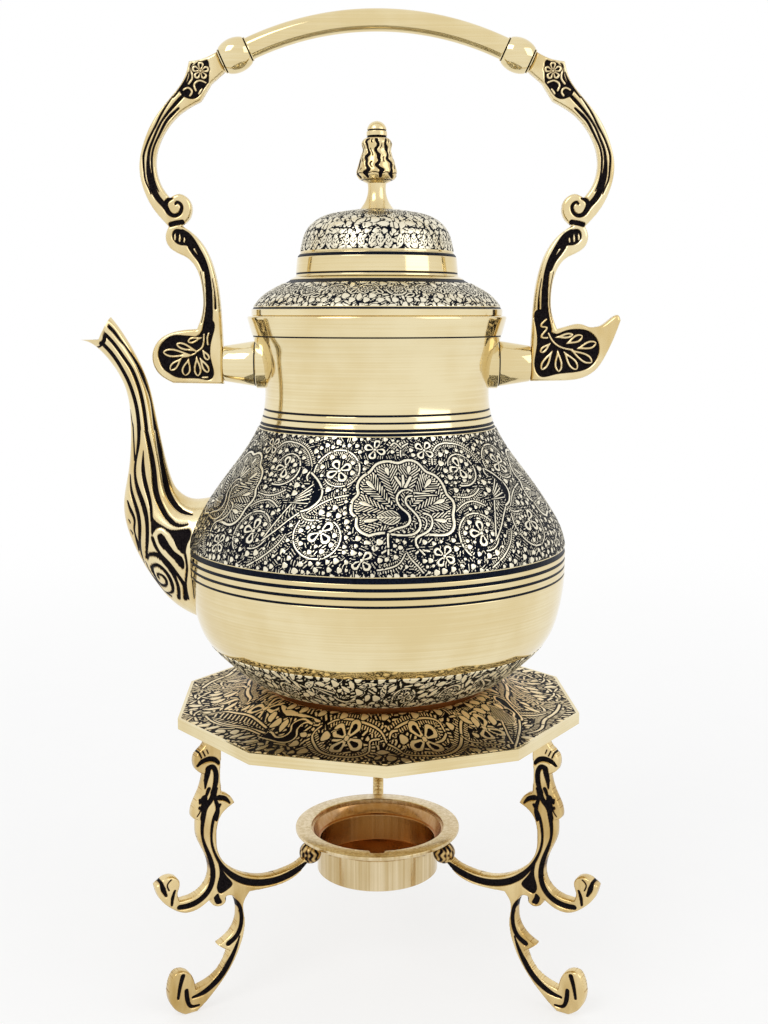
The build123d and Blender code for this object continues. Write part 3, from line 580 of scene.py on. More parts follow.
def drawDome(plate, width, height):
    # leaves and curls set so close that the blackened ground is only thin lines between them
    plate.hatch(1.5, 3.0, 9, 0.84)
    for k in range(9):
        x = (k + 0.5) * width / 9
        plate.leaf(x, 0.8, 5.6, 2.9, 90 + (k % 3 - 1) * 10, "veins", 0.26)
        plate.bud(x + width / 18, 7.2, 2.0, 90 + 60 * (k % 2), 0.7, 0.24)
    for x, y, reach, start, sweep in ((0.16, 0.56, 4.2, 0, 330), (0.5, 0.52, 4.4, 180, -330),
                                      (0.84, 0.56, 4.2, 90, 330), (0.33, 0.84, 3.4, 0, -300),
                                      (0.68, 0.84, 3.4, 60, 300)):
        drawScroll(plate, x * width, y * height, reach, start, sweep, int(x * 90), 3, 0.9, 0.3)
        plate.flower(x * width, y * height, 2.3, 5, start)
    for x, y, turn in ((0.02, 0.66, 60), (0.3, 0.6, -60), (0.66, 0.62, 120), (0.98, 0.4, 80), (0.33, 0.42, 100),
                       (0.67, 0.4, 70)):
        plate.leaf(x * width, y * height, 5.5, 2.6, turn, "veins", 0.26)
    plate.scatter(3.2, 1.8, 5, 0.8, 4000, 60, 0.26, 0.7)
    plate.scatter(2.2, 1.2, 6, 0.6, 4000, 80, 0.24, 0.6)


def drawTray(tray):
    # the half of the tray's top that the front shows, used twice: angles in degrees from the left and radii
    width = math.pi * tray["middle"]
    inner, share = tray["patternStart"], tray["drawn"]
    plate = Plate(0.0, 0.0, width, 42.0 * share, True)
    plate.squeeze = lambda y: (inner + y / share) / tray["middle"]
    plate.hatch(1.9, 5.0, 9, 0.42)

    def at(points):
        return [(a * width / 180, (r - inner if r > 60 else 14 - (60 - r) * 0.55) * share) for a, r in points]

    for a, r, start in tray["fans"]:
        x, y = at([(a, r)])[0]
        for k in range(-4, 5):
            turn = start + 24 * k
            (c, s), (p, q) = heading(turn), heading(turn * 1.04)
            ray = [(x, y), (x + 3 * c, y + 3 * s), (x + 5.5 * p, y + 5.5 * q)]
            plate.stroke(ray, 0.62, 0.34, (0.7, 1.2))
    for points in tray["vines"]:
        plate.stroke(at(points), 0.9, 0.4, (0.8, 0.7), 1.5, pitch=1.2)
    for a, r, size, turn, petals in tray["flowers"]:
        plate.flower(*at([(a, r)])[0], size, petals, turn)
    upper, lower = tray["longBird"]
    for points in (upper, lower):
        plate.stroke(at(points), 0.6, 0.4)
    plate.area(at(upper[:7] + lower[4:0:-1]), 0.0, 0.3)
    spot, gap = plate.area(at(upper[8:] + lower[:4:-1]))
    plate.cover(spot, np.abs(gap) - 0.32, 0.25)
    a, b = (evenly(smoothLine(at(t), 200), 16)[1:-1] for t in tray["longTail"][:2])
    for p, q in zip(a, b):
        plate.stroke([p * 0.95 + q * 0.05, p * 0.45 + q * 0.55], 0.6, 0.4)
    for points in tray["longTail"]:
        plate.stroke(at(points), 0.62, 0.36)
    back, breast = tray["bird"]
    spot, gap = plate.area(at(back + breast[::-1]), 1.0, 0.3)
    plate.cover(spot, np.abs(gap) - 0.32, 0.2)
    a, b = (evenly(np.array(at(t)), 13) for t in tray["tail"])
    drawBarbs(plate, a[:-1], b[:-1], (a[-1] - a[0]) * 0.07, 0.5, 0.25)
    for points in tray["tail"]:
        plate.stroke(at(points), 0.6, 0.35)
    drawWing(plate, *at([tray["wing"]])[0], 4.2)
    for a, r in tray["buds"]:
        (x, y), = at([(a, r)])
        plate.bud(x, max(y, 2.4), 3.0, 90 + a * 7 % 50, 0.7)
    for k, (a, r) in enumerate(tray["leaves"]):
        (x, y), = at([(a, r)])
        plate.leaf(x, max(y, 2.2), 4.6, 2.5, 40 + 75 * k, "none", 0.4)
    plate.scatter(3.2, 2.1, 5, 0.9, 5000, 90, 0.5, 0.5)
    plate.scatter(2.2, 1.5, 6, 0.8, 5000, 90, 0.45, 0.5)
    drawEdge(plate, 0.4, 35.2 * share, 1.5, 1.7, (1.19, 0.85), (0.72, 0.39), plate.cols * plate.step)
    return plate


class Wire:
    # one socket of a node tree; an expression on it adds the Math nodes that work it out
    def __init__(self, tree, socket):
        self.tree, self.socket = tree, socket

    def math(self, operation, *terms):
        return self.tree.add("ShaderNodeMath", {"operation": operation}, dict(enumerate(terms)))[0]

    def __add__(self, other):
        return self.math("ADD", self, other)

    __radd__ = __add__

    def __sub__(self, other):
        return self.math("SUBTRACT", self, other)

    def __rsub__(self, other):
        return self.math("SUBTRACT", other, self)

    def __mul__(self, other):
        return self.math("MULTIPLY", self, other)

    __rmul__ = __mul__

    def step(self, low, high):
        # rises smoothly from 0 to 1 between two values
        values = {"Value": self, "From Min": low, "From Max": high}
        return self.tree.add("ShaderNodeMapRange", {"interpolation_type": "SMOOTHSTEP"}, values)[0]


class Tree:
    # the nodes of a material or the world; add takes a node's type, its settings and what goes into its sockets
    def __init__(self, owner):
        self.owner = owner
        owner.use_nodes = True
        self.nodes, self.links = owner.node_tree.nodes, owner.node_tree.links
        self.nodes.clear()

    def add(self, kind, settings=None, values=None):
        node = self.nodes.new(kind)
        for key, value in (settings or {}).items():
            if key == "stops":
                ramp = node.color_ramp
                while len(ramp.elements) < len(value):
                    ramp.elements.new(0.5)
                for element, (place, colour) in zip(ramp.elements, value):
                    element.position, element.color = place, colour
            else:
                setattr(node, key, value)
        for key, value in (values or {}).items():
            if isinstance(value, Wire):
                self.links.new(value.socket, node.inputs[key])
            else:
                node.inputs[key].default_value = value
        return [Wire(self, s) for s in node.outputs if s.enabled]

    def mix(self, share, low, high):
        return self.add("ShaderNodeMix", {"data_type": "RGBA"}, {0: share, 6: low, 7: high})[0]

    def vector(self, operation, *terms):
        return self.add("ShaderNodeVectorMath", {"operation": operation}, dict(enumerate(terms)))[0]

    def noise(self, place, scale, detail=2.0):
        values = {"Vector": place, "Scale": scale, "Detail": detail}
        return self.add("ShaderNodeTexNoise", {"noise_dimensions": "3D"}, values)[0]

    def place(self):
        return self.add("ShaderNodeTexCoord")[3]

    def seen(self):
        # 1 for what the camera meets, straight or through metal and glass
        path = {s.socket.name: s for s in self.add("ShaderNodeLightPath")}
        return path["Is Camera Ray"] + path["Is Glossy Ray"] + path["Is Transmission Ray"]

    def close(self, kind, shader):
        self.add("ShaderNodeOutput" + kind, None, {"Surface": shader})
        return self.owner


def brassFinish(name, look):
    # cast or rolled brass: its colour wanders a little, turns brown (partly stain, partly painted shade at the
    # fill's edge) and then black (brown painted shade on the satin finish) where the ink attribute rises, and
    # tool marks drawn out along one axis go with faint hammer waves into the bump
    tree = Tree(bpy.data.materials.new(name))
    place = tree.place()
    cloud, fine = tree.noise(place, 28.0, 3.0), tree.noise(place, 900.0)
    marks = tree.noise(tree.vector("MULTIPLY", place, look["marks"]), 1.0)
    # colour streaks along the tool marks; on the satin finish they are partly brushed grain, partly painted
    # reflection streaks
    streak = look.get("streak", 0.3)
    body = tree.mix((cloud * (1 - streak) + marks * streak).step(0.35, 0.65), look["colour"], look["warm"])
    if "inner" in look:
        # near the pot's axis the metal takes a brighter colour and is partly dull: painted light where the
        # belly keeps light off the tray's middle and the foot band
        fromAxis = tree.vector("MULTIPLY_ADD", place, (1, 1, 0), tuple(-axisSpot / 1000))
        outer = tree.vector("LENGTH", fromAxis).step(*look["innerReach"])
        body = tree.mix(outer, look["inner"], body)
    rough = look["rough"] + (cloud - 0.5) * 0.06 + fine.step(0.55, 0.9) * 0.05 + (marks - 0.5) * look["drag"]
    height = cloud * look["wave"] + tree.noise(place, 220.0) * look["ripple"] + marks * look["drag"] * 0.03
    if "fill" in look:
        ink = tree.add("ShaderNodeAttribute", {"attribute_name": "inlay"})[2]
        edge, level = look["edge"], look.get("level", 0.5)
        dark = ink.step(level - edge, level + edge)
        # a brown tint at the fill's edge: partly stain, partly painted shade at the edges of the grooves
        body = tree.mix(ink.step(0.05, 0.5) * look["stainAndShadeShare"], body, look["stainAndShade"])
        grime = tree.noise(place, 1500.0).step(0.2, 0.9)
        body = tree.mix(dark, body, tree.mix(grime, look["fill"], look["fillLight"]))
        rough = rough + dark * (look["fillRough"] - look["rough"])
        height = height + fine * dark * look["grain"]
    bump = tree.add("ShaderNodeBump", None, {"Strength": 1.0, "Distance": 0.001, "Height": height})[0]
    values = {"Base Color": body, "Metallic": 1.0, "Roughness": rough, "Normal": bump}
    if "inner" in look:
        values["Metallic"] = 1 - (1 - outer) * (1 - dark) * look["innerDull"]
    return tree.close("Material", tree.add("ShaderNodeBsdfPrincipled", None, values)[0])


# each finish: its slot, two colours of metal, roughness, bumps, and the filling of what is cut in, with its
# stain and painted edge shade
polished = {"slot": "polished_brass", "colour": (0.74, 0.6, 0.32, 1), "warm": (0.84, 0.73, 0.46, 1),
            "rough": 0.09, "wave": 0.05, "ripple": 0.003, "marks": (14, 14, 1500), "drag": 0.03}
engraved = {"slot": "engraved_brass", "colour": (0.84, 0.77, 0.58, 1), "warm": (0.9, 0.84, 0.67, 1),
            "rough": 0.27, "wave": 0.04, "ripple": 0.01, "marks": (300, 300, 300), "drag": 0.08,
            "fill": (0.002, 0.003, 0.006, 1), "fillLight": (0.01, 0.013, 0.024, 1), "fillRough": 0.6,
            "grain": 0.02, "edge": 0.08, "level": 0.36, "stainAndShade": (0.3, 0.26, 0.18, 1), "stainAndShadeShare": 0.3}
cast = {"slot": "cast_brass", "colour": (0.68, 0.51, 0.23, 1), "warm": (0.86, 0.74, 0.46, 1), "rough": 0.2,
        "wave": 0.12, "ripple": 0.03, "marks": (160, 160, 60), "drag": 0.12, "fill": (0.004, 0.003, 0.004, 1),
        "fillLight": (0.02, 0.016, 0.016, 1), "fillRough": 0.55, "grain": 0.03, "edge": 0.14,
        "stainAndShade": (0.2, 0.1, 0.03, 1), "stainAndShadeShare": 0.75}
finishLooks = {
    "polished": polished,
    "turned": {**polished, "fill": (0.003, 0.004, 0.008, 1), "fillLight": (0.014, 0.018, 0.032, 1),
               "fillRough": 0.5, "grain": 0.01, "edge": 0.1, "stainAndShade": (0.4, 0.3, 0.14, 1), "stainAndShadeShare": 0.3},
    "engraved": engraved,
    # foot band: all of it lies within the reach below, so all of it takes the paler painted-light colour
    "foot": {**engraved, "rough": 0.3, "fill": (0.003, 0.003, 0.004, 1), "fillLight": (0.01, 0.01, 0.014, 1),
             "level": 0.42, "inner": (1, 0.9, 0.64, 1), "innerReach": (0.2, 0.3), "innerDull": 0.7},
    # tray: near the pot's foot its metal takes a brighter orange painted-light colour, where the belly shades
    # it
    "tray": {**engraved, "colour": (0.86, 0.68, 0.36, 1), "warm": (0.92, 0.78, 0.5, 1), "rough": 0.33,
             "fill": (0.004, 0.002, 0.002, 1), "fillLight": (0.014, 0.008, 0.008, 1), "level": 0.42,
             "stainAndShade": (0.3, 0.14, 0.04, 1), "inner": (1, 0.68, 0.27, 1), "innerReach": (0.05, 0.078),
             "innerDull": 0.8},
    "cast": cast,
    "legs": {**cast, "colour": (0.5, 0.33, 0.11, 1), "warm": (0.8, 0.63, 0.33, 1), "rough": 0.22,
             "wave": 0.14, "ripple": 0.05, "marks": (260, 260, 60), "drag": 0.16,
             "stainAndShade": (0.16, 0.07, 0.02, 1), "stainAndShadeShare": 0.8},
    # satin: its fill and stain colours are brown painted shade, which only the burner cup's well carries
    "satin": {"slot": "satin_brass", "colour": (0.56, 0.42, 0.21, 1), "warm": (0.75, 0.62, 0.4, 1),
              "rough": 0.18, "wave": 0.03, "ripple": 0.006, "marks": (700, 700, 10), "drag": 0.12,
              "streak": 0.6, "fill": (0.28, 0.09, 0.015, 1), "fillLight": (0.36, 0.13, 0.03, 1),
              "fillRough": 0.2, "grain": 0.01, "edge": 0.5, "stainAndShade": (0.5, 0.29, 0.08, 1), "stainAndShadeShare": 0.3},
    # the foot ring's dark red-brown is painted shade where it sits under the bowl
    "joint": {"slot": "polished_brass", "colour": (0.2, 0.07, 0.02, 1), "warm": (0.3, 0.12, 0.04, 1),
              "rough": 0.35, "wave": 0.05, "ripple": 0.01, "marks": (30, 30, 900), "drag": 0.1},
    "lid": {**engraved, "level": 0.52},
}
finishes = {name: brassFinish("brass_" + name, look) for name, look in finishLooks.items()}
print("finishes made")


def cornersOf(node):
    # a node's lowest and highest corners in millimetres, measured from the pot's axis
    low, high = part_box(node)
    return np.array(low) * 1000 - axisSpot, np.array(high) * 1000 - axisSpot


def makePiece(name, points, quads, look, body, node=None, inlay=None, tris=None, sharp=35):
    # arrays of places in millimetres and of corner numbers go straight into a mesh
    points = np.asarray(points, float).reshape(-1, 3)
    tris = np.zeros((0, 3), int) if tris is None else tris
    mesh = bpy.data.meshes.new(name)
    mesh.vertices.add(len(points))
    mesh.vertices.foreach_set("co", ((points + axisSpot) / 1000).astype(np.float32).ravel())
    corners = np.concatenate([quads.ravel(), tris.ravel()]).astype(np.int32)
    starts = np.concatenate([np.arange(len(quads)) * 4, quads.size + np.arange(len(tris)) * 3]).astype(np.int32)
    mesh.loops.add(len(corners))
    mesh.loops.foreach_set("vertex_index", corners)
    mesh.polygons.add(len(starts))
    mesh.polygons.foreach_set("loop_start", starts)
    mesh.update(calc_edges=True)
    mesh.validate()
    mesh.shade_smooth()
    if sharp:
        mesh.set_sharp_from_angle(angle=math.radians(sharp))
    if inlay is not None:
        layer = mesh.attributes.new("inlay", "FLOAT", "POINT")
        layer.data.foreach_set("value", np.asarray(inlay, np.float32).ravel())
    mesh.materials.append(finishes[look])
    piece = bpy.data.objects.new(name, mesh)
    bpy.context.scene.collection.objects.link(piece)
    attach(piece, body)
    if node:
        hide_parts(node)


def gridQuads(rows, cols, wrapRows=False, wrapCols=False, first=0):
    # corner numbers of the cells of a grid, turned so that rows by columns points outwards
    i = np.arange(rows if wrapRows else rows - 1)[:, None]
    j = np.arange(cols if wrapCols else cols - 1)[None, :]
    below, right = (i + 1) % rows * cols, (j + 1) % cols
    return np.stack([i * cols + j, i * cols + right, below + right, below + j], axis=-1).reshape(-1, 4) + first


def turnedPoints(radius, height, angle):
    # x and y are the radius times cosine and sine, z is the height
    return np.stack([radius * np.cos(angle), radius * np.sin(angle), height], axis=-1)


def capped(rings, low, high, first=0):
    # rings closed on a pole at each end: their points, four-cornered cells and fans of triangles
    rows, count = rings.shape[:2]
    j, last, pole = np.arange(count), (rows - 1) * count, np.full(count, rows * count)
    fans = np.concatenate([np.stack([pole, (j + 1) % count, j], axis=1),
                           np.stack([pole + 1, last + j, last + (j + 1) % count], axis=1)])
    points = np.concatenate([rings.reshape(-1, 3), [low, high]])
    return points, gridQuads(rows, count, False, True, first), fans + first


def turnPiece(name, profile, look, body, node, count, sharp=35, inlay=None, extra=0.0, axis=None):
    # a closed run of (radius, height) points turned once round, up the outside and down the inside; where it
    # starts and ends at radius nought it closes on poles. extra adds to the radius at each point, the inlay,
    # which also carries painted shade, may stop short, and axis is a place, a direction and one square to it
    run = np.array(profile, float)
    start, along, up = axis or ((0, 0, 0), (0, 0, 1), (1, 0, 0))
    angle = np.linspace(0, 2 * np.pi, count, endpoint=False)[None, :, None]
    r, h = (run[:, :1] + extra)[..., None], run[:, 1:, None]
    rings = np.array(start) + h * np.array(along) + r * np.cos(angle) * np.array(up)
    rings = rings + r * np.sin(angle) * np.cross(along, up)
    tone = None
    if inlay is not None:
        tone = np.zeros((len(run), count))
        tone[:len(inlay)] = np.array(inlay, float).reshape(len(inlay), -1)
    if run[0, 0] > 0:
        makePiece(name, rings, gridQuads(len(run), count, True, True), look, body, node, tone, None, sharp)
        return
    points, quads, tris = capped(rings[1:-1], rings[0, 0], rings[-1, 0])
    if inlay is not None:
        tone = np.concatenate([tone[1:-1].ravel(), tone[[0, -1], 0]])
    makePiece(name, points, quads, look, body, node, tone, tris, sharp)


def castPlate(outline, shape, plate):
    # a flat casting from its outline: a grid cut to the outline, whose outer points are moved onto it.
    # half its thickness falls towards the outline as a quarter round and sinks where the drawing is dark
    step, edge = shape["step"], shape["edge"]
    line = evenly(np.vstack([outline, outline[:1]]), len(outline))[:-1]
    low, high = line.min(axis=0) - step, line.max(axis=0) + step
    x, y = np.meshgrid(np.arange(low[0], high[0] + step, step), np.arange(low[1], high[1] + step, step))
    gap, which = lineGap(x, y, line)
    snap = gap < 0.62 * step
    keep = insideLine(x, y, line) | snap
    x, y, gap = np.where(snap, line[which, 0], x), np.where(snap, line[which, 1], y), np.where(snap, 0.0, gap)
    cell = keep[:-1, :-1] & keep[1:, :-1] & keep[:-1, 1:] & keep[1:, 1:]
    quads = gridQuads(*x.shape)[cell.ravel()]
    used, quads = np.unique(quads, return_inverse=True)
    quads = quads.reshape(-1, 4)
    x, y, gap = (t.ravel()[used] for t in (x, y, gap))
    ink, wide = plate.castRelief(x, y, 0.25)
    half = shape["gauge"] / 2 - edge + np.sqrt(np.clip(edge**2 - np.clip(edge - gap, 0, edge) ** 2, 0, None))
    half = half - shape["depth"] * wide * unit(gap / 0.5)
    # a side that only one cell has lies on the rim, and a wall joins front and back there
    edges = np.concatenate([quads[:, [k, (k + 1) % 4]] for k in range(4)])
    _, index, times = np.unique(np.sort(edges, axis=1), axis=0, return_index=True, return_counts=True)
    a, b = edges[index[times == 1]].T
    n = len(used)
    faces = np.concatenate([quads, quads[:, ::-1] + n, np.stack([b, a, a + n, b + n], axis=1)])
    points = np.concatenate([np.stack([x, side * half, y], axis=1) for side in (-1, 1)])
    return points, faces, np.concatenate([ink, ink])


shellLow, shellHigh = cornersOf("body_shell")
potShape = {
    "bellyRadius": shellHigh[0], "seam": shellLow[2], "base": cornersOf("base_bowl")[0][2],
    "collar": shellHigh[2], "rim": cornersOf("neck_collar")[1][2], "lip": cornersOf("neck_collar")[1][0],
    "neckRadius": 46.4, "neckLevel": shellLow[2] + 73.5, "neckTop": 51.3, "mouth": 46.0,
    "footRadius": cornersOf("foot_ring")[1][0], "footLevel": cornersOf("foot_ring")[0][2], "footWidth": 3.6,
    "wall": 1.5,
    # from the seam to the neck: shares of the step in radius and in height
    "bowl": [(0, 0), (0.17, 0.03), (0.3, 0.085), (0.48, 0.185), (0.66, 0.3), (0.81, 0.42), (0.93, 0.63),
             (0.986, 0.85), (1, 1)],
    "shoulder": [(1, 0), (0.985, 0.16), (0.915, 0.25), (0.79, 0.345), (0.53, 0.51), (0.34, 0.62), (0.14, 0.755),
                 (0.035, 0.87), (0, 1)],
    "flare": [(0.1, 0.33), (0.42, 0.7), (1, 1)],
    # blackened grooves turned into the wall: lowest and highest level of each
    "lowerGrooves": [(177.6, 178.5), (180.7, 181.75), (183.75, 185.05), (186.75, 188.9)],
    "upperGrooves": [(238.0, 239.0), (239.45, 240.45), (242.4, 243.15), (245.1, 245.8)],
    "grooveDepth": 0.28,
}


def bowlLine(pot, count):
    # the bowl's outer profile, foot to seam
    points = between((pot["footRadius"], pot["base"]), (pot["bellyRadius"], pot["seam"]), pot["bowl"])
    return smoothLine(points, count, ((1, 0.1), (0, 1)))


def shellLine(pot, count):
    # the shell's outer profile, seam to collar
    neck = (pot["neckRadius"], pot["neckLevel"])
    points = between((neck[0], pot["seam"]), (pot["bellyRadius"], neck[1]), pot["shoulder"])
    points += between(neck, (pot["neckTop"], pot["collar"]), pot["flare"])
    return smoothLine(points, count, ((0, 1), (0.35, 1)))


def squareTo(line):
    # the outward direction at each point of a profile that goes up the outside
    ahead = np.gradient(line, axis=0)
    ahead /= np.linalg.norm(ahead, axis=1)[:, None]
    return np.stack([ahead[:, 1], -ahead[:, 0]], axis=1)


def innerWall(outside, wall, every=1):
    # the same profile moved inwards by the wall's thickness and read backwards, every so many points
    return (outside - squareTo(outside) * wall)[::-1][::every]


def grooved(line, grooves, depth):
    # a profile read finely near its grooves and coarsely elsewhere; inside a groove it steps inwards
    fine, coarse, margin, blur = 0.18, 1.6, 0.6, 0.2
    run = lengths(line)
    marks = [0.0, run[-1], *np.arange(coarse, run[-1], coarse)]
    for low, high in grooves:
        a, b = np.interp([low - margin, high + margin], line[:, 1], run)
        marks += list(np.arange(max(a, 0), min(b, run[-1]), fine))
    points = readLine(line, np.unique(np.round(marks, 3)))
    ink = np.zeros(len(points))
    for low, high in grooves:
        above, below = points[:, 1] - low, high - points[:, 1]
        ink = np.maximum(ink, unit(0.5 + above / blur) * unit(0.5 + below / blur))
    return points - squareTo(points) * (depth * ink)[:, None], ink


def makePot(pot):
    wall, base, depth = pot["wall"], pot["base"], pot["grooveDepth"]
    line, ink = grooved(bowlLine(pot, 900), [g for g in pot["lowerGrooves"] if g[0] < pot["seam"]], depth)
    inner = innerWall(line, wall, 3)
    inner = inner[inner[:, 1] > base + wall + 0.2]
    turnPiece("bowl_wall", [(0, base), *line, *inner, (0, base + wall)], "turned", "pot", "base_bowl", 260, 35,
              [0, *ink])
    grooves = [g for g in pot["lowerGrooves"] if g[1] > pot["seam"]] + pot["upperGrooves"]
    line, ink = grooved(shellLine(pot, 900), grooves, depth)
    turnPiece("shell_wall", [*line, *innerWall(line, wall, 3)], "turned", "pot", "body_shell", 260, 35, ink)
    r, h, inside = pot["footRadius"], pot["footLevel"], pot["footRadius"] - pot["footWidth"]
    ring = [(r - 0.5, h), (r - 0.15, h + 0.15), (r, h + 0.6), (r, base), (inside, base), (inside, h)]
    # the foot ring is painted dark red-brown as the shade under the bowl
    turnPiece("foot_band", ring, "joint", "pot", "foot_ring", 200, 40)
    top, rim, lip, neck, seam = pot["collar"], pot["rim"], pot["lip"], pot["neckTop"], 0.45
    run = [(neck - 0.25, top), (neck - 0.28, top + seam), (neck + 0.12, top + seam + 0.12)]
    run += between((neck, top), (lip, rim - 0.9), [(s, s) for s in (0.2, 0.45, 0.7, 0.9)])
    run += [(lip, rim - 0.8), (lip - 0.08, rim - 0.4), (lip - 0.35, rim - 0.1), (lip - 0.8, rim)]
    run += [(pot["mouth"], rim), (pot["mouth"], rim - wall), (neck - 0.2, rim - wall), (neck - wall, top)]
    turnPiece("collar_lip", run, "turned", "pot", "neck_collar", 240, 40, [1, 1, 0.2])
    print("pot walls made")


def layEngraving(name, line, plate, repeats, look, body, spacing, parts, proud, depth):
    # engraved sheet on a turned wall: rows follow the profile, columns go round; bright metal stands proud
    # of the wall and blackened ground lies lower. the first and last rows turn down under the wall
    run = lengths(line)
    rows, tuck = int(run[-1] / spacing) + 1, -0.35
    t = np.linspace(0, run[-1], rows)
    rowPoints = readLine(line, t)
    out = squareTo(rowPoints)
    count = int(round(2 * np.pi * rowPoints[:, 0].mean() / spacing / parts)) * parts
    share = count // parts
    turns = np.arange(count) / count
    across = plate.left + (turns * repeats) % 1 * plate.cols * plate.step
    ink = plate.read(across[None, :], plate.low + t[:, None] / run[-1] * plate.rows * plate.step)
    away = proud - depth * ink
    away[0], away[-1] = tuck, tuck
    for k in range(parts):
        j = (np.arange(share + 1) + k * share) % count
        r, z = (rowPoints[:, i:i + 1] + out[:, i:i + 1] * away[:, j] for i in (0, 1))
        angle = -np.pi / 2 + math.radians(bellyBand["from"]) + turns[j] * 2 * np.pi
        own, quads = f"{name}_{k + 1}" if parts > 1 else name, gridQuads(rows, share + 1)
        makePiece(own, turnedPoints(r, z, angle), quads, look, body, None, ink[:, j], None, 0)
    print(name, "laid on:", rows, "by", count)


skirtLow, skirtHigh = cornersOf("lid_skirt")
domeLow, domeHigh = cornersOf("lid_dome")
lidShape = {
    "rim": skirtLow[2], "edgeRadius": skirtHigh[0], "edgeHeight": 2.6,
    "bandRadius": 33.4, "bandLevel": skirtLow[2] + 16.0,
    "domeRadius": domeHigh[0], "domeLevel": domeLow[2], "domeTop": domeHigh[2], "domeEnd": 7.2,
    "studHole": 2.4, "wall": 1.5,
    "dome": [(1, 0), (0.985, 0.16), (0.93, 0.48), (0.75, 0.8), (0.4, 0.965)],
    "flareGrooves": [(286.1, 286.85), (296.4, 297.9)],
    "bandGrooves": [(299.9, 300.6), (306.75, 308.1)],
    "grooveDepth": 0.25,
}


def flareLine(lid, count):
    # from the lid's upright edge up its flare to the foot of the band
    low, high = (lid["bandRadius"], lid["rim"]), (lid["edgeRadius"], lid["bandLevel"])
    middle = between(low, high, [(0.74, 0.51), (0.4, 0.75)])
    return smoothLine([(high[0], low[1] + lid["edgeHeight"]), *middle, (low[0], high[1])], count)


def domeLine(lid, count):
    # from the top of the band over the dome to the foot of the finial
    points = between((0, lid["domeLevel"]), (lid["domeRadius"], lid["domeTop"]), lid["dome"])
    return smoothLine(points + [(lid["domeEnd"], lid["domeTop"])], count, ((0, 1), (-1, 0)))


def makeLid(lid):
    wall, edge, rim = lid["wall"], lid["edgeRadius"], lid["rim"]
    dome, level = lid["domeRadius"], lid["domeLevel"]
    line, ink = grooved(flareLine(lid, 500), lid["flareGrooves"], lid["grooveDepth"])
    r = lid["bandRadius"]
    straight = np.array([(r, lid["bandLevel"]), (r - 0.4 * (r - dome), level - (r - dome) / 2), (dome, level)])
    band, tone = grooved(evenly(straight, 60), lid["bandGrooves"], lid["grooveDepth"])
    inner = innerWall(flareLine(lid, 24), wall)
    profile = [(edge - 0.5, rim), (edge, rim + 0.4), *line, *band[1:], (dome - wall, level),
               (dome - wall, inner[0][1]), *inner[:-1], (edge - wall, rim + 1.6), (edge - wall, rim)]
    turnPiece("lid_flare_wall", profile, "turned", "lid", "lid_skirt", 220, 35, [0, 0, *ink, *tone[1:]])
    line = domeLine(lid, 70)
    inner = innerWall(line, wall)
    top, hole = lid["domeTop"], lid["studHole"]
    inner[0], inner[-1] = (lid["domeEnd"], top - wall), (dome - wall, level)
    profile = [*line, (hole, top), (hole, top - wall), *inner]
    turnPiece("lid_dome_wall", profile, "polished", "lid", "lid_dome", 200, 40)
    print("lid walls made")


finialShape = {
    "low": domeHigh[2], "high": cornersOf("finial")[1][2], "studEnd": cornersOf("finial")[0][2],
    "base": 7.2, "wide": 8.3, "stud": 2.4,
    # radius shares: stem of the base radius, bud and tip of the widest radius; then height shares
    "stem": [(1.0, 0.0), (0.66, 0.1), (0.5, 0.24), (0.52, 0.3)],
    "bud": [(0.86, 0.345), (1.0, 0.4), (0.95, 0.48), (0.76, 0.62), (0.7, 0.68), (0.75, 0.75), (0.66, 0.79)],
    "tip": [(0.5, 0.82), (0.5, 0.86), (0.44, 0.93), (0.26, 0.98), (0.0, 1.0)],
    # height shares of the blackened rings below and above the bud
    "rings": ((0.8, 0.832), (0.88, 0.9), (0.328, 0.34)),
    "leaves": 9, "twist": 0.35, "relief": 0.45,
}


def makeFinial(bud):
    # a stem, a bud of leaning leaves and a rounded tip: the radius of a turned profile, less grooves that
    # lean round it between the leaves
    low, rise = bud["low"], bud["high"] - bud["low"]
    runs = (("stem", "base", 60), ("bud", "wide", 130), ("tip", "wide", 60))
    line = np.vstack([smoothLine(between((0, low), (bud[wide], bud["high"]), bud[key]), count)
                      for key, wide, count in runs])
    line = evenly(line, 250)
    count = 180
    angle = np.linspace(0, 2 * np.pi, count, endpoint=False)[None, :]
    share = ((line[:, 1] - low) / rise)[:, None]
    within = unit((share - 0.335) / 0.03) * unit((0.8 - share) / 0.02)
    sway = 0.12 * np.sin(share * 38 + 2 * np.sin(3 * angle)) + 0.06 * np.sin(share * 71 + angle)
    phase = (angle * bud["leaves"] / (2 * np.pi) + bud["twist"] * (share - 0.4) * 2.2 + sway) % 1
    off = np.abs(phase - 0.5) * 2
    vein = unit(0.5 - (np.abs(phase - 0.46) - 0.06) / 0.05) * unit((share - 0.42) / 0.04)
    vein = vein * unit(0.5 + 2 * np.sin(share * 47 + 5 * angle))
    lobe = unit(1 - np.abs(share - 0.38 - 0.03 * (1 - off**2)) / 0.008)
    ink = within * unit(unit((off - 0.6) / 0.14) + vein * 0.9 + lobe)
    for start, end in bud["rings"]:
        ink = np.maximum(ink, unit((share - start) / 0.006) * unit((end - share) / 0.006))
    crown = bud["relief"] * (np.sqrt(unit(1 - off**2)) - 1) * within
    radius = np.maximum(np.maximum(line[:, :1], 0) + crown - 0.35 * ink, 0.0)
    radius[-1] = 0.0
    stud = [(0, bud["studEnd"]), (bud["stud"], bud["studEnd"]), (bud["stud"], low)]
    bare = np.zeros((len(stud), count))
    turnPiece("finial_bud", np.vstack([stud, line * (0, 1)]), "cast", "lid", "finial", count, 50,
              np.vstack([bare, ink]), np.vstack([bare, radius]))
    print("finial made")


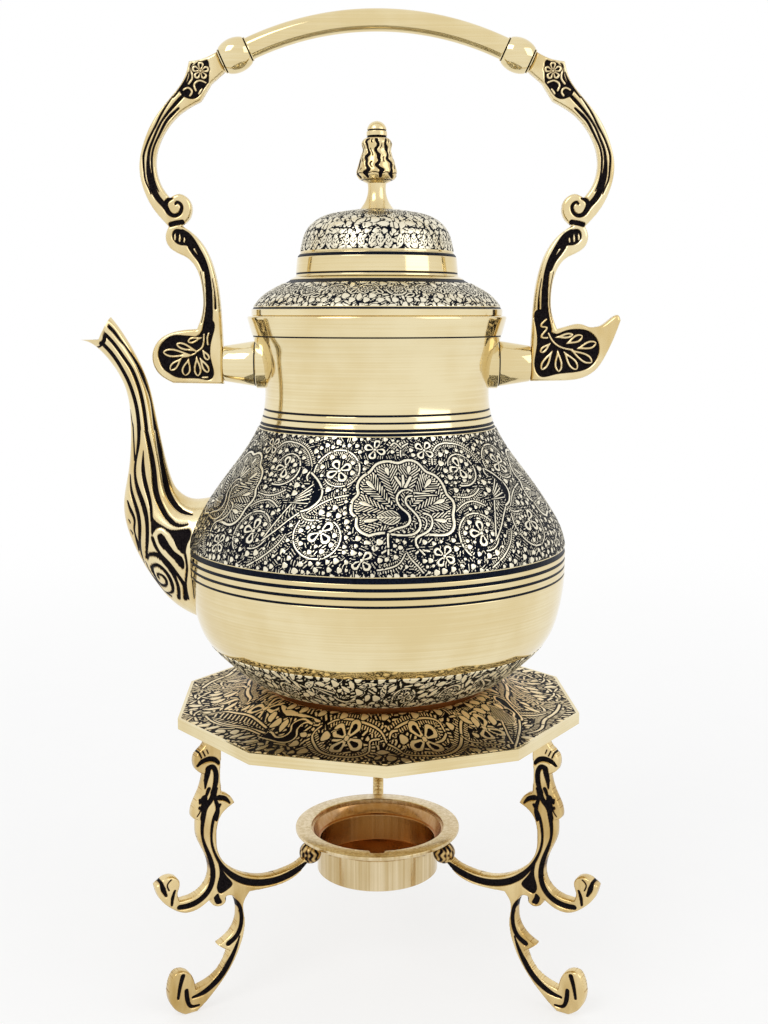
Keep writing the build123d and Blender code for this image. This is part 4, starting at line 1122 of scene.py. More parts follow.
gripShape = {
    "crown": cornersOf("grip_tube")[1][2] - 4.4, "halfSpan": 51.0, "sag": 11.0, "radius": 4.4, "bore": 3.2,
    "ferrule": 12.4, "ferruleRadius": 6.8, "ferruleNeck": 5.0, "tenon": 2.7,
}


def gripEnd(grip):
    # the radius of the grip's arc, and the angle that it has turned through at its end
    bend = (grip["halfSpan"]**2 + grip["sag"]**2) / (2 * grip["sag"])
    return bend, math.asin(grip["halfSpan"] / bend)


def makeGrip(grip):
    # the grip's middle line is an arc; its tube is a ring carried along it. each ferrule is a barrel
    # profile turned about the arc's end direction
    bend, slope = gripEnd(grip)
    steps, count = 90, 56
    turn = np.linspace(-slope, slope, steps)[:, None]
    angle = np.linspace(0, 2 * np.pi, count, endpoint=False)[None, :]
    rings = []
    for radius in (grip["radius"], grip["bore"]):
        away = bend + radius * np.cos(angle)
        rings.append(np.stack([away * np.sin(turn), radius * np.sin(angle) + 0 * turn,
                               grip["crown"] - bend + away * np.cos(turn)], axis=-1))
    quads = gridQuads(2 * steps, count, True, True)[:, ::-1]
    makePiece("grip_bar", [rings[0], rings[1][::-1]], quads, "polished", "handle", "grip_tube")
    n, w, t, long = grip["ferruleNeck"], grip["ferruleRadius"], grip["tenon"], grip["ferrule"]
    s = np.linspace(0, 1, 40)
    barrel = np.sqrt(unit(1 - (2 * s - 1)**2)) ** 1.6
    profile = [(n - 0.2, 0), (n + 0.1, 0.35), (n - 0.3, 0.7),
               *np.stack([n - 0.5 + (w - n + 0.5) * barrel, s * long], axis=1)[3:-3],
               (n - 0.3, long - 0.7), (n + 0.1, long - 0.35), (n - 0.2, long), (t, long), (t, 0)]
    tone = np.zeros(len(profile))
    tone[[2, -5]] = 1
    c, s = math.cos(slope), math.sin(slope)
    for side, name in ((-1, "left"), (1, "right")):
        axis = (side * grip["halfSpan"], 0, grip["crown"] - grip["sag"]), (side * c, 0, -s), (side * s, 0, c)
        turnPiece("barrel_" + name, profile, "turned", "handle", "ferrule_" + name, 64, 35, tone, 0.0, axis)
    print("grip made")


bossShape = {
    "level": (cornersOf("boss_left")[0][2] + cornersOf("boss_left")[1][2]) / 2,
    "end": cornersOf("boss_right")[1][0],
    "endRadius": 7.4, "rootRadius": 9.3, "flangeRadius": 10.2, "flange": 1.3, "bore": 1.85, "boreDepth": 10.0,
    "pinGap": 0.6,
}


def makeBosses(boss, pot):
    # a cone on a thin flange, turned about the pivot's line; it runs into the neck
    start, end = pot["neckRadius"] - 3.0, boss["end"]
    flange = pot["neckRadius"] + boss["flange"] + 1.0
    face, root, big = flange + boss["flange"], boss["rootRadius"], boss["flangeRadius"]
    profile = [(big, start), (big, face - 0.3), (big - 0.3, face), (root + 0.15, face + 0.05),
               (root - 0.1, face + 0.35), (root, face + 0.8)]
    profile += between((root, flange + 2.1), (boss["endRadius"], end - 0.5), [(s, s) for s in (0.33, 0.66, 1)])
    profile += [(boss["endRadius"] - 0.2, end - 0.15), (boss["endRadius"] - 0.6, end), (boss["bore"], end),
                (boss["bore"], end - boss["boreDepth"]), (boss["pinGap"], end - boss["boreDepth"]),
                (boss["pinGap"], start)]
    for side, name in ((-1, "left"), (1, "right")):
        turnPiece("cone_" + name, profile, "turned", "pot", "boss_" + name, 96, 35, [0, 0, 0.3, 1, 1], 0.0,
                  ((0, 0, boss["level"]), (side, 0, 0), (0, side, 0)))
    print("bosses made")


# the tray's pattern: degrees from the left, seen from the front, and millimetres from the pot's axis
trayShape = {
    "border": 120.6, "seat": cornersOf("tray")[1][2], "corner": 87.0, "sides": 10, "turn": 20.5, "ramp": 73.0,
    "seatRadius": 49.0, "inner": 46.6, "middle": 66.0, "outer": 84.0, "patternStart": 46.0, "margin": 1.0,
    "spacing": 0.36, "drawn": 0.6, "fans": [(3.5, 77, 90), (171, 78, 90), (20, 80, 100), (-12, 70, 60)],
    "flowers": [(79.5, 63.1, 7.4, 30, 4), (106.7, 64.4, 7.4, 60, 4), (36.2, 52.7, 7.2, 70, 4),
        (131.4, 64.3, 6.6, 45, 4)],
    "vines": [[(93.8, 65.3), (92.5, 60.1), (89.6, 53.7), (84.6, 48.9), (77.2, 45.9), (71.2, 50), (69.9, 52.9)],
        [(68.1, 55.8), (66.8, 61.5), (69.7, 68.5), (74.2, 75.1), (79.7, 77.8), (85.5, 76.2), (87.8, 69.7),
        (87.7, 64.8), (90.9, 63.1)], [(95, 58.4), (98.7, 53), (104.9, 48), (112.8, 47.5), (116.2, 53.5),
        (116.1, 60.3), (114.2, 68.4)], [(93.8, 66.2), (96.5, 69.6), (98.3, 74.4), (102.6, 77.6), (109.4, 78.8),
        (114.7, 74.3), (119.9, 66.1), (124.1, 58.6), (129, 52.7), (136.3, 50.3), (144.8, 52.9)], [(115.4, 62.9),
        (112.8, 66.1), (109.6, 67.3)], [(97.9, 57.7), (95.4, 59.3), (94.6, 62.7)], [(132.1, 49.9),
        (127.1, 50.1), (122.1, 49.8)], [(-13.6, 55.8), (2.8, 51.2), (16, 52.9), (23.2, 58.4), (23.3, 65.4)],
        [(30.4, 57.8), (29.4, 54.4), (32, 52.7), (36.2, 52.7)], [(-8.2, 83.5), (-11.9, 73.3), (-9, 60.5),
        (1.1, 52.8)], [(-4.6, 81.2), (-8, 70.9), (-3, 59.1), (4.6, 52.7)], [(120.3, 65.4), (121.3, 70.5),
        (125.1, 75.6), (127, 81.5)], [(131.7, 51.8), (140.6, 51.1), (146, 53.2)], [(171, 78.1), (160.8, 77),
        (153.7, 75.9), (144.6, 79.1), (140.1, 77.5)], [(181, 51.8), (166.7, 53.6), (159.3, 59), (156.9, 64.2)],
        [(153.1, 66.2), (156.8, 70.2), (160.7, 73.8)]],
    "longBird": [[(49.9, 52.5), (45.1, 49), (41.2, 44.3), (49.5, 45.6), (58.3, 47.2), (63.7, 49.1),
        (66.5, 51.7), (67.1, 54.1), (63.8, 55.1), (60, 56.7), (59.5, 60.6), (61.4, 65.2), (61.1, 68.8),
        (58.5, 71.2), (54.4, 71.1), (48.6, 69.3)], [(49.9, 52.5), (52.3, 51.2), (58.4, 50.1), (63.5, 50.8),
        (65, 52.9), (61.6, 53.2), (56.8, 54.5), (56, 58.4), (57.7, 63.1), (57.3, 66.5), (54.9, 68.1),
        (50.1, 66.5)]],
    "longTail": [[(47.8, 64.6), (39.6, 62.5), (32.1, 62.5), (24.8, 65.1), (19.9, 69.6), (20.5, 74.1)],
        [(49.5, 67.6), (43, 67.8), (36.1, 69.7), (30.2, 72.9), (24.8, 74.7)], [(48.6, 69.3), (39.2, 69.6),
        (32, 73.9), (21.7, 75.7)]],
    "bird": [[(153.6, 50.5), (158.9, 50.2), (158.9, 53.6), (156.9, 59.7), (153.4, 64.7), (148.6, 67)],
        [(154.5, 51), (153.2, 55.4), (152.9, 59.6), (152.1, 63.3), (148.6, 65.9)]],
    "tail": [[(141.4, 64.3), (136.9, 70.3), (132.2, 77.4), (128.9, 84.2)], [(148.6, 67.6), (142.4, 72),
        (135.5, 77.5), (128.9, 84.2)]],
    "wing": (144.8, 60.8),
    "buds": [(47.1, 40.3), (54.7, 38.7), (64.7, 39.5), (75.1, 40.1), (84.5, 36.9), (93.6, 41.9), (107.4, 39.6),
        (119.2, 40.9)],
    "leaves": [(125.2, 46.2), (131, 46), (144.6, 43.6), (137.4, 50.8), (141.2, 53.2), (126.2, 50.4),
        (132.1, 55), (140.4, 54.4), (153.3, 46.3), (146.4, 42.5)],
}


def trayLevel(tray, r):
    # the tray's upper face: level seat, a ramp that falls as a cubic between its end slopes, level border
    start, end = (tray["seatRadius"], tray["seat"]), (tray["ramp"], tray["border"])
    ramp = smoothLine([start, end], 200, ((1, -0.2), (1, 0)))
    return np.where(r < start[0], start[1], np.interp(r, *ramp.T))


def layTray(tray, plate, repeats, proud, depth):
    # engraved top in polar rows: each column runs from the pot's foot out to just inside the ten-sided edge
    inner, spacing, tuck = tray["inner"], tray["spacing"], -0.3
    half = int(2 * np.pi * tray["middle"] / spacing / 2)
    turns = np.arange(2 * half) / (2 * half)
    angle = turns * 2 * np.pi
    corner = math.radians(360 / tray["sides"])
    toSide = (angle - math.radians(tray["turn"])) % corner - corner / 2
    edge = (tray["corner"] * math.cos(corner / 2) - tray["margin"]) / np.cos(toSide)
    rows = int((tray["outer"] - inner) / spacing)
    r = inner + (edge[None, :] - inner) * np.linspace(0, 1, rows)[:, None]
    around = (turns * repeats) % 1 * plate.cols * plate.step + plate.left
    ink = plate.read(around + 0 * r, (r - tray["patternStart"]) * tray["drawn"])
    lift = proud - depth * ink
    lift[0], lift[-1] = tuck, tuck
    z = trayLevel(tray, r) + lift
    for k, name in enumerate(("back", "front")):
        j = (np.arange(half + 1) + k * half) % (2 * half)
        makePiece("tray_engraving_" + name, turnedPoints(r[:, j], z[:, j], angle[j]),
                  gridQuads(rows, half + 1)[:, ::-1], "tray", "stand", None, ink[:, j], None, 0)
    print("tray engraving laid on:", rows, "by", 2 * half)


cupLow, cupHigh = cornersOf("burner_cup")
cupShape = {
    "top": cupHigh[2], "bottom": cupLow[2], "flange": cupHigh[0], "gauge": 1.6, "throat": 28.9, "well": 25.0,
    "wall": 1.4, "throatDepth": 4.6, "notchHalf": 3.0, "notchDepth": 2.2,
}


def makeCup(cup):
    # turned profile whose throat steps outwards over the narrow angle of the notch
    top, rest, bottom, wall = cup["top"], cup["top"] - cup["gauge"], cup["bottom"], cup["wall"]
    well, throat, flange = cup["well"], cup["throat"], cup["flange"]
    floor, shelf, outside = bottom + wall, top - cup["throatDepth"], well + wall
    count = 360
    angle = np.linspace(0, 2 * np.pi, count, endpoint=False)
    off = np.abs((angle + np.pi / 2 + np.pi) % (2 * np.pi) - np.pi)
    notch = cup["notchDepth"] * unit((cup["notchHalf"] / throat - off) / 0.006 + 0.5)
    # radius, height, painted shade (darker on the lip roll, in the creases and on the floor of the well), and
    # whether the notch cuts in there
    run = np.array([
        (0, bottom, 0, 0), (outside - 0.3, bottom, 0, 0), (outside, bottom + 0.3, 0, 0),
        (outside, rest - cup["throatDepth"], 0, 0), (throat + wall, rest - 0.3, 0, 0),
        (throat + wall + 0.3, rest, 0, 0), (flange - 0.3, rest, 0, 0), (flange, rest + 0.3, 0, 0),
        (flange, top - 0.45, 0, 0), (flange - 0.15, top - 0.12, 0, 0), (flange - 0.5, top, 0, 0),
        (throat + 0.3, top, 0, 1), (throat, top - 0.25, 0, 1), (throat - 0.25, rest - 0.05, 0.3, 1),
        (throat - 0.9, rest - 0.1, 0.5, 0), (well + wall / 2 + 0.5, shelf - 1.0, 0.6, 0),
        (well + wall / 2, shelf - 1.35, 1, 0), (well + 0.15, shelf - 1.7, 0.5, 0), (well, shelf - 2.2, 0.3, 0),
        (well, floor + 0.8, 0.45, 0), (well - 0.25, floor + 0.25, 1, 0), (well - 0.8, floor, 1, 0),
        (0, floor, 0.9, 0)])
    # the painted shade column goes into the ink attribute, which the satin finish turns brown inside the well
    turnPiece("cup_well", run[:, :2], "satin", "burner", "burner_cup", count, 35, run[:, 2], run[:, 3:] * notch)
    print("burner cup made")


# a leg drawn flat: millimetres from the pot's axis and above the floor; a line is its points and its widths
legShape = {
    "gauge": 5.2, "edge": 1.15, "step": 0.3, "depth": 0.75, "ballRadius": 4.7, "ballDistance": 33.0,
    "ballFlat": 1.4, "padInset": 6.1, "rest": cornersOf("burner_cup")[1][2] - 1.6, "top": 119.0, "reach": 103.0,
    "stations": (33, 77.4, 102.9), "heights": (0, 58.2, 120.8),
    "outline": [[(81.6, 114.6), (84.8, 111.4), (85.6, 107.6), (84.2, 104.2), (81.8, 102.6)], [(83.6, 96),
        (86.9, 88.4), (86.6, 84.8), (85, 83.9)], [(85, 77), (82.1, 69.2), (80.3, 61), (82.2, 55.2),
        (87.2, 51.7), (93.2, 51.2)], [(93.9, 54.6), (92.9, 58.4), (94.6, 61.6), (98.2, 62.4), (102.9, 59.6)],
        [(101.2, 54), (97, 48.8), (90.4, 45), (84.8, 45.9), (80.4, 48.6)], [(79.2, 45.5), (76.2, 44.4),
        (73.8, 45.8), (73.4, 48.2)], [(71, 47.9), (69, 45), (68.3, 40.5), (69, 35.2), (72.2, 30.4),
        (77.7, 27.2)], [(74.6, 24.6), (72.6, 23.4)], [(74.6, 18.6), (80.1, 12.8), (87.4, 10.2)], [(88.2, 14.8),
        (91, 19), (95, 19.8), (98.2, 14.6), (98.2, 7.6), (95.6, 2.6), (92.2, 0)], [(87.2, 0)], [(83.4, 3),
        (79, 7.4), (73.8, 13.4), (69.2, 20.6), (66.2, 28.2), (65.2, 36), (65.4, 43.8), (62.8, 47.8)],
        [(54, 47.4), (46.5, 48), (40.2, 50.3), (34.4, 55.4)], [(33, 61)], [(37.6, 56.2), (45.4, 53.6),
        (53.8, 53), (62.1, 54.9), (70.3, 59.6), (75.8, 66.3), (77.2, 76), (74.6, 84.4), (68.9, 88.2)],
        [(71.2, 91.8), (74.6, 93.6)], [(75, 101), (74.4, 110), (74.2, 120.8)], [(80.6, 120.8)]],
    "lines": [([(83.9, 112.3), (83, 110)], 0.6), ([(82.4, 112.6), (81.5, 110.5)], 0.5), ([(80.8, 113),
        (80.2, 111.4)], 0.4), ([(84.6, 106.9), (83.1, 108.1), (80.7, 108.9), (77.8, 108.4), (75.8, 106.5)],
        (1, 1.9, 2, 2, 1.4)), ([(81.7, 97), (81.3, 99.9), (80.6, 102.7), (80.2, 104.8)], (0.7, 1.5, 2, 2.2)),
        ([(80.2, 105.1), (78.6, 105.4), (77.4, 103.8), (77, 101), (77.4, 97.7), (78.6, 94.5)],
        (2, 1.9, 2.1, 2.1, 1.9, 2)), ([(80.2, 96.3), (81.4, 93.3)], (1.6, 1)), ([(78.4, 94.5), (79.6, 91.3),
        (81.4, 89.2), (83, 84.2)], (1.6, 2.2, 2.2, 2)), ([(84.1, 92.5), (84, 91)], 0.9), ([(84.3, 89.4),
        (84.3, 88.6)], 0.7), ([(83.3, 90.1), (84, 87.4), (85.4, 85.6)], (0.6, 0.5, 0.4)), ([(76.1, 91.8),
        (73.8, 91.2), (71.2, 88.6)], (2.2, 1.8, 0.6)), ([(76.9, 95.9), (77.6, 91.4), (76.8, 88.7), (76.6, 86.1),
        (77.2, 82.5)], (1, 1.2, 1.6, 1.6, 1.2)), ([(82.2, 92.7), (82.3, 88.3), (83.1, 82.3), (83.3, 76.7),
        (81.2, 69.4), (79.5, 63.4), (79.3, 58.3), (81, 53.2), (84.9, 49.6), (90, 48.2), (93.5, 48.4)], (2.6,
        2.2, 1.5, 1, 1.3, 1.6, 1.9, 2.2, 2.3, 2.4, 2)), ([(75.6, 88.7), (78, 84.3), (79.3, 79), (79.4, 72.9),
        (77.5, 66.5), (72.3, 58.6), (65.2, 53.2), (57.5, 50.7), (49.2, 50.4), (40.8, 52.5), (36.8, 54.2)], (1.2,
        1.2, 0.9, 0.9, 1.5, 2.5, 2.8, 2.9, 2.9, 3, 2.4)), ([(73.6, 47.4), (70.4, 46), (68, 43.2), (66.9, 38.4),
        (67.4, 33.4), (69.4, 29.4), (73, 27)], (0.9, 1.3, 1.5, 1.7, 1.8, 2.1, 2.3)), ([(67.9, 29), (69.6, 24.5),
        (72.4, 19.2), (75.8, 14.2), (80, 10.4), (84.6, 7.8), (89, 7)], (0.5, 1.5, 2.3, 2.5, 2.5, 2.2, 0.9)),
        ([(92.8, 17.7), (94, 13.6), (95, 8.2)], (1.8, 1.4, 1)), ([(91.5, 10.8), (91.1, 6.1), (89.8, 3.2),
        (86.4, 2.8)], (1.6, 1.8, 1.4, 0.8)), ([(100.8, 61), (100, 58), (98.8, 54.8)], (1.2, 2, 1)),
        ([(95.2, 56.2), (96.2, 53.2), (96.6, 50.2)], (0.8, 1.3, 0.9)), ([(97.6, 56.8), (98.2, 59.4),
        (96.6, 61.2)], 0.5)],
    "fields": [[(76.9, 64.1), (76.5, 57.7), (77.6, 52.4), (76.6, 50.5), (73, 51.2), (70.8, 53), (72.6, 56.4),
        (75, 60.3)], [(79.1, 49.1), (77.2, 45.7), (75.8, 46), (76.7, 48.8), (77.2, 50.4)]],
}


def closedLine(stretches, spacing=0.3):
    # stretches that run end to end, each a cubic through its points or a straight edge to a single point
    whole, start = [], stretches[-1][-1]
    for stretch in stretches:
        points = np.array([start] + stretch, float)
        count = max(int(np.linalg.norm(np.diff(points, axis=0), axis=1).sum() / spacing), 3)
        whole.append(evenly(points if len(points) == 2 else smoothLine(points, 6 * count), count)[:-1])
        start = stretch[-1]
    return np.vstack(whole)


def makeLegs(leg, tray):
    # drawn places and heights are moved so that the drawn stations land on the solids'; a ball takes the cup
    plate = Plate(28, -3, 80, 128)
    drawCast(plate, leg)
    radius, away = leg["ballRadius"], leg["ballDistance"]
    ball = leg["rest"] - math.sqrt(radius**2 - leg["ballFlat"]**2)
    pad = tray["corner"] * math.cos(math.pi / tray["sides"]) - leg["padInset"]
    points, quads, ink = castPlate(closedLine(leg["outline"]), leg, plate)
    points[:, 0] = np.interp(points[:, 0], leg["stations"], (away, pad, leg["reach"]))
    points[:, 2] = np.interp(points[:, 2], leg["heights"], (0, ball, leg["top"]))
    rows, count = 48, 72
    polar = np.linspace(-np.pi / 2, math.asin((leg["rest"] - ball) / radius), rows)[1:, None]
    turns = np.linspace(0, 2 * np.pi, count, endpoint=False)[None, :]
    rings = turnedPoints(radius * np.cos(polar), ball + radius * np.sin(polar) + 0 * turns, turns)
    rings[..., 0] += away
    globe, cells, tris = capped(rings, (away, 0, ball - radius), (away, 0, leg["rest"]), len(points))
    globeInk = 0.42 + 0.5 * np.sin(globe[:, 0] * 2.3 + np.sin(globe[:, 2] * 1.9)) * np.sin(globe[:, 1] * 2.6)
    globeInk[-2:] = 0
    whole, faces, tone = (np.concatenate(pair) for pair in ((points, globe), (quads, cells), (ink, globeInk)))
    for angle, node, name in ((210, "leg_front_left", "leg_left"), (330, "leg_front_right", "leg_right"),
                              (90, "leg_rear", "leg_back")):
        stood = np.stack([*turned(whole[:, 0], whole[:, 1], -angle), whole[:, 2]], axis=1)
        makePiece(name, stood, faces, "legs", "stand", node, tone, tris, 55)
    print("legs made:", len(faces), "faces each")


spoutShape = {
    "reach": 44.3, "root": shellLow[2] + 4.0, "rise": 89.5, "wall": 1.5, "rows": 232, "count": 232,
    "depth": 0.8,
    # inner and outer point of each section, as shares of reach and rise, and its half width
    "sections": [((-0.3, 0.285), (-0.1, -0.305), 18), ((-0.05, 0.265), (0.27, -0.175), 16.5), ((0.1, 0.3),
        (0.605, 0.145), 11), ((0.195, 0.4), (0.575, 0.395), 7.9), ((0.3, 0.655), (0.54, 0.635), 5.8),
        ((0.405, 0.865), (0.605, 0.82), 5.2), ((0.625, 1.065), (0.825, 0.97), 5), ((0.8, 1.165), (1.01, 1.01),
        4.4)],
    "lipLow": (0.8, 1.01), "lipHigh": (0.72, 1.09), "beakDrop": 0.6,
    # drawn flat, in millimetres from the pot's axis and above the floor
    "lines": [([(-110.9, 279.9), (-108.3, 277.3), (-105.6, 273.7), (-103.7, 271.4)], (1.4, 1.3, 1, 0.6)),
        ([(-103.7, 271.4), (-101.6, 268.2), (-99.2, 264.2), (-97.1, 259.5), (-95.3, 255.1), (-93.7, 250.3),
        (-92.7, 244.4), (-91.9, 236.8)], (0.6, 0.8, 0.9, 1.2, 1.3, 1.3, 1.4, 1.4)), ([(-111.6, 275.9),
        (-109, 273.2), (-106.6, 270.1), (-103.6, 265.7), (-101.2, 262), (-99.1, 257), (-97.6, 251.9),
        (-96.5, 246.2), (-95.4, 236.8)], 1.4), ([(-113.5, 272.3), (-111, 269.8), (-108, 266), (-105.6, 262),
        (-102.9, 256.6), (-101.1, 251.6), (-99.7, 246.2), (-98.7, 236.8)], 1.7), ([(-112.6, 277.8),
        (-112, 275.7), (-112.2, 273.5), (-113.8, 271.7)], (1, 1.6, 1.7, 1.6)), ([(-117.9, 270.4),
        (-114.8, 270.5), (-113.3, 271.5)], (0.4, 0.6, 0.8)), ([(-109.1, 261.7), (-107.9, 259.5), (-107, 257.6)],
        0.4), ([(-103.2, 244.7), (-102.5, 240.9), (-101.7, 236.8)], 0.6), ([(-91.3, 235.8), (-90.8, 231.2),
        (-89.6, 222.4), (-88.3, 215.5), (-86.9, 210.4), (-84.1, 206), (-80.4, 203.1), (-76.7, 202.1)], (1.5,
        1.4, 1.2, 1.5, 2, 2, 1.8, 0.6)), ([(-95.4, 235.8), (-93.9, 228.4), (-92.5, 219.2), (-91.6, 210.9),
        (-89.3, 204.9), (-85.5, 199.8), (-81.8, 197.9), (-78.1, 198.4)], (1.5, 1.6, 1.8, 2, 2.1, 2, 1.8, 0.6)),
        ([(-98.9, 238.6), (-99.1, 231.6), (-100.3, 225.2), (-101, 220.1), (-99.9, 213.2), (-97.7, 207.6),
        (-95.9, 201.7), (-95.5, 192.5), (-96.7, 183.3)], (1.6, 1.4, 1, 1.1, 1.8, 2, 1.6, 1.5, 0.9)),
        ([(-96.9, 228), (-97.1, 220.1), (-95.7, 212.7), (-94, 206.3), (-93.4, 199.4)], (0.3, 1.6, 1.8, 1.3, 1)),
        ([(-101.8, 238.6), (-101.5, 231.6), (-101.1, 223.8)], 0.7), ([(-103.4, 217.8), (-102.5, 210.9),
        (-100.2, 204.4), (-98.9, 197.1), (-99.4, 187.9), (-98.4, 180.4)], (0.5, 1.3, 1.6, 1.5, 1.3, 0.4)),
        ([(-104.5, 206.7), (-103.2, 203.5), (-101.2, 198.9), (-101.6, 195.7), (-100.8, 190.2), (-100.5, 185.2)],
        (0.8, 1.5, 1, 0.8, 1.2, 0.5)), ([(-104.1, 198.9), (-103.4, 197.8)], 0.6), ([(-103.4, 194.3),
        (-102.5, 193)], 0.6), ([(-93.2, 192.5), (-91.6, 188.4), (-88.8, 184.7), (-86, 182), (-82.3, 176.9),
        (-80, 172.7), (-80.1, 166.3)], (1.4, 1.4, 1.3, 1.3, 1.5, 1.7, 1.7)), ([(-96, 182.9), (-95.3, 184.7),
        (-93.4, 185.4), (-90.6, 185), (-86.9, 181.7), (-84.4, 177.4), (-82.8, 172.2), (-83.1, 166.3)], (0.8,
        1.8, 2.4, 2.4, 1.6, 1.3, 1.5, 1.6)), ([(-97.1, 181.1), (-96.2, 176.9), (-93.5, 172.2), (-89.8, 168),
        (-86.6, 166.6)], (0.5, 0.8, 0.8, 0.9, 0.8)), ([(-94.4, 177.4), (-94, 179.7), (-92, 180.8),
        (-89.7, 179.9), (-86.9, 176.9), (-85.4, 172.7), (-85.9, 169), (-88.4, 168)], (1.6, 1.6, 1.5, 1.5, 1.6,
        1.6, 1.3, 0.6)), ([(-94.1, 177.4), (-93.2, 174.1), (-90.7, 171.5), (-88.6, 171.8), (-87.9, 173.6),
        (-89.5, 176.2), (-91.6, 176.9)], (1.2, 1.3, 1.4, 1.4, 1.3, 1.3, 0.8)), ([(-91.6, 176.9), (-92, 175.6),
        (-91.2, 174.8)], 0.8), ([(-79, 186.6), (-78.4, 179.7), (-79.2, 174.1), (-78.8, 166.3)], 0.9)],
    "fields": [[(-93.4, 201.7), (-91.6, 199.4), (-88.3, 197.5), (-84.8, 196.1), (-76.7, 195.7), (-77.1, 192.5),
        (-78.3, 189.8), (-79.4, 186.6), (-80.9, 187.2), (-83.9, 192), (-86.7, 195.5), (-89.5, 196.9),
        (-91.9, 195.7), (-93.3, 193.6), (-93.7, 197.1)], [(-91, 193.6), (-89.5, 194.4), (-86.9, 192),
        (-83.2, 187.2), (-79.9, 184.3), (-79.8, 180.1), (-84.1, 184.3), (-87.8, 187.7), (-90.6, 191.4)]],
}


def spoutPlace(spout, shares):
    # shares of reach and rise turned into places, measured from the belly's side and the spout's root
    root = (-potShape["bellyRadius"], spout["root"])
    return between(root, (root[0] - spout["reach"], root[1] + spout["rise"]), shares)


def spoutSkin(spout, u, v, wall):
    # a point of the skin: the section's middle, plus its half length and half width round an ellipse
    inner, outer, across = zip(*spout["sections"])
    table = np.column_stack([spoutPlace(spout, inner), spoutPlace(spout, outer), across])
    curve = smoothLine(table, 400, even=True)
    ix, iz, ox, oz, width = (np.interp(u, np.linspace(0, len(table) - 1, 400), column) for column in curve.T)
    ax, az = ox - ix, oz - iz
    long = np.hypot(ax, az)
    half = np.cos(v) * (long / 2 - wall)
    x, z = (ix + ox) / 2 + half * ax / long, (iz + oz) / 2 + half * az / long
    return np.stack([x, np.sin(v) * (width - wall), z], axis=-1)


def spoutEnds(spout, v, wall, wallLine):
    # where each line along the spout leaves the belly and where the mouth's cut ends it
    u = np.linspace(0, len(spout["sections"]) - 1, 900)[:, None]
    x, y, z = np.moveaxis(spoutSkin(spout, u, v[None, :], wall), -1, 0)
    outside = np.hypot(x, y) > np.interp(z, wallLine[:, 1], wallLine[:, 0], left=0) - 0.6
    (xl, zl), (xh, zh) = spoutPlace(spout, (spout["lipLow"], spout["lipHigh"]))
    # the cut falls gently outwards from the low corner and climbs steeply inwards from it
    slope = np.where(x < xl, spout["beakDrop"] / spout["reach"], (zh - zl) / (xh - xl))
    cut = z - zl - (x - xl) * slope
    beyond = (cut > 0) & (u > 4)
    k = np.where(beyond.any(axis=0), np.argmax(beyond, axis=0), len(u) - 1)
    c0, c1 = (np.take_along_axis(cut, i[None], 0)[0] for i in (k - 1, k))
    return u[np.argmax(outside, axis=0), 0], u[k - 1, 0] + unit(-c0 / (c1 - c0 + 1e-9)) * u[1, 0]


def makeSpout(spout, pot):
    plate = Plate(-128, 145, 60, 150)
    drawCast(plate, spout)
    wallLine = np.vstack([bowlLine(pot, 300), shellLine(pot, 600)])
    count = spout["count"]
    v = np.linspace(0, 2 * np.pi, count, endpoint=False)
    low, high = spoutEnds(spout, v, 0, wallLine)
    w = np.linspace(0, 1, spout["rows"])[:, None]
    skin = spoutSkin(spout, low + (high - low) * w, v[None, :], 0)
    out = np.cross(np.roll(skin, -1, axis=1) - np.roll(skin, 1, axis=1), np.gradient(skin, axis=0))
    out /= np.linalg.norm(out, axis=-1)[..., None] + 1e-12
    out *= np.sign((out * (skin - skin.mean(axis=1, keepdims=True))).sum(axis=-1).mean())
    ink, wide = plate.castRelief(skin[..., 0], skin[..., 2], 0.3)
    # the drawing fades towards the edge seen from the side and towards the mouth
    shown = unit((np.abs(out[..., 1]) - 0.12) / 0.2) * unit((1 - w) / 0.03)
    skin = skin - out * (spout["depth"] * wide * shown)[..., None]
    low, high = spoutEnds(spout, v, spout["wall"], wallLine)
    back = np.linspace(1, 0, 60)[:, None] ** 1.4
    inner = spoutSkin(spout, low + (high - low) * back, v[None, :], spout["wall"])
    points = np.concatenate([skin, inner])
    tone = np.concatenate([ink * shown, np.full(inner.shape[:2], 0.25)])
    makePiece("spout_cast", points, gridQuads(len(points), count, True, True)[:, ::-1], "cast", "pot", "spout",
              tone, None, 60)
    print("spout made")


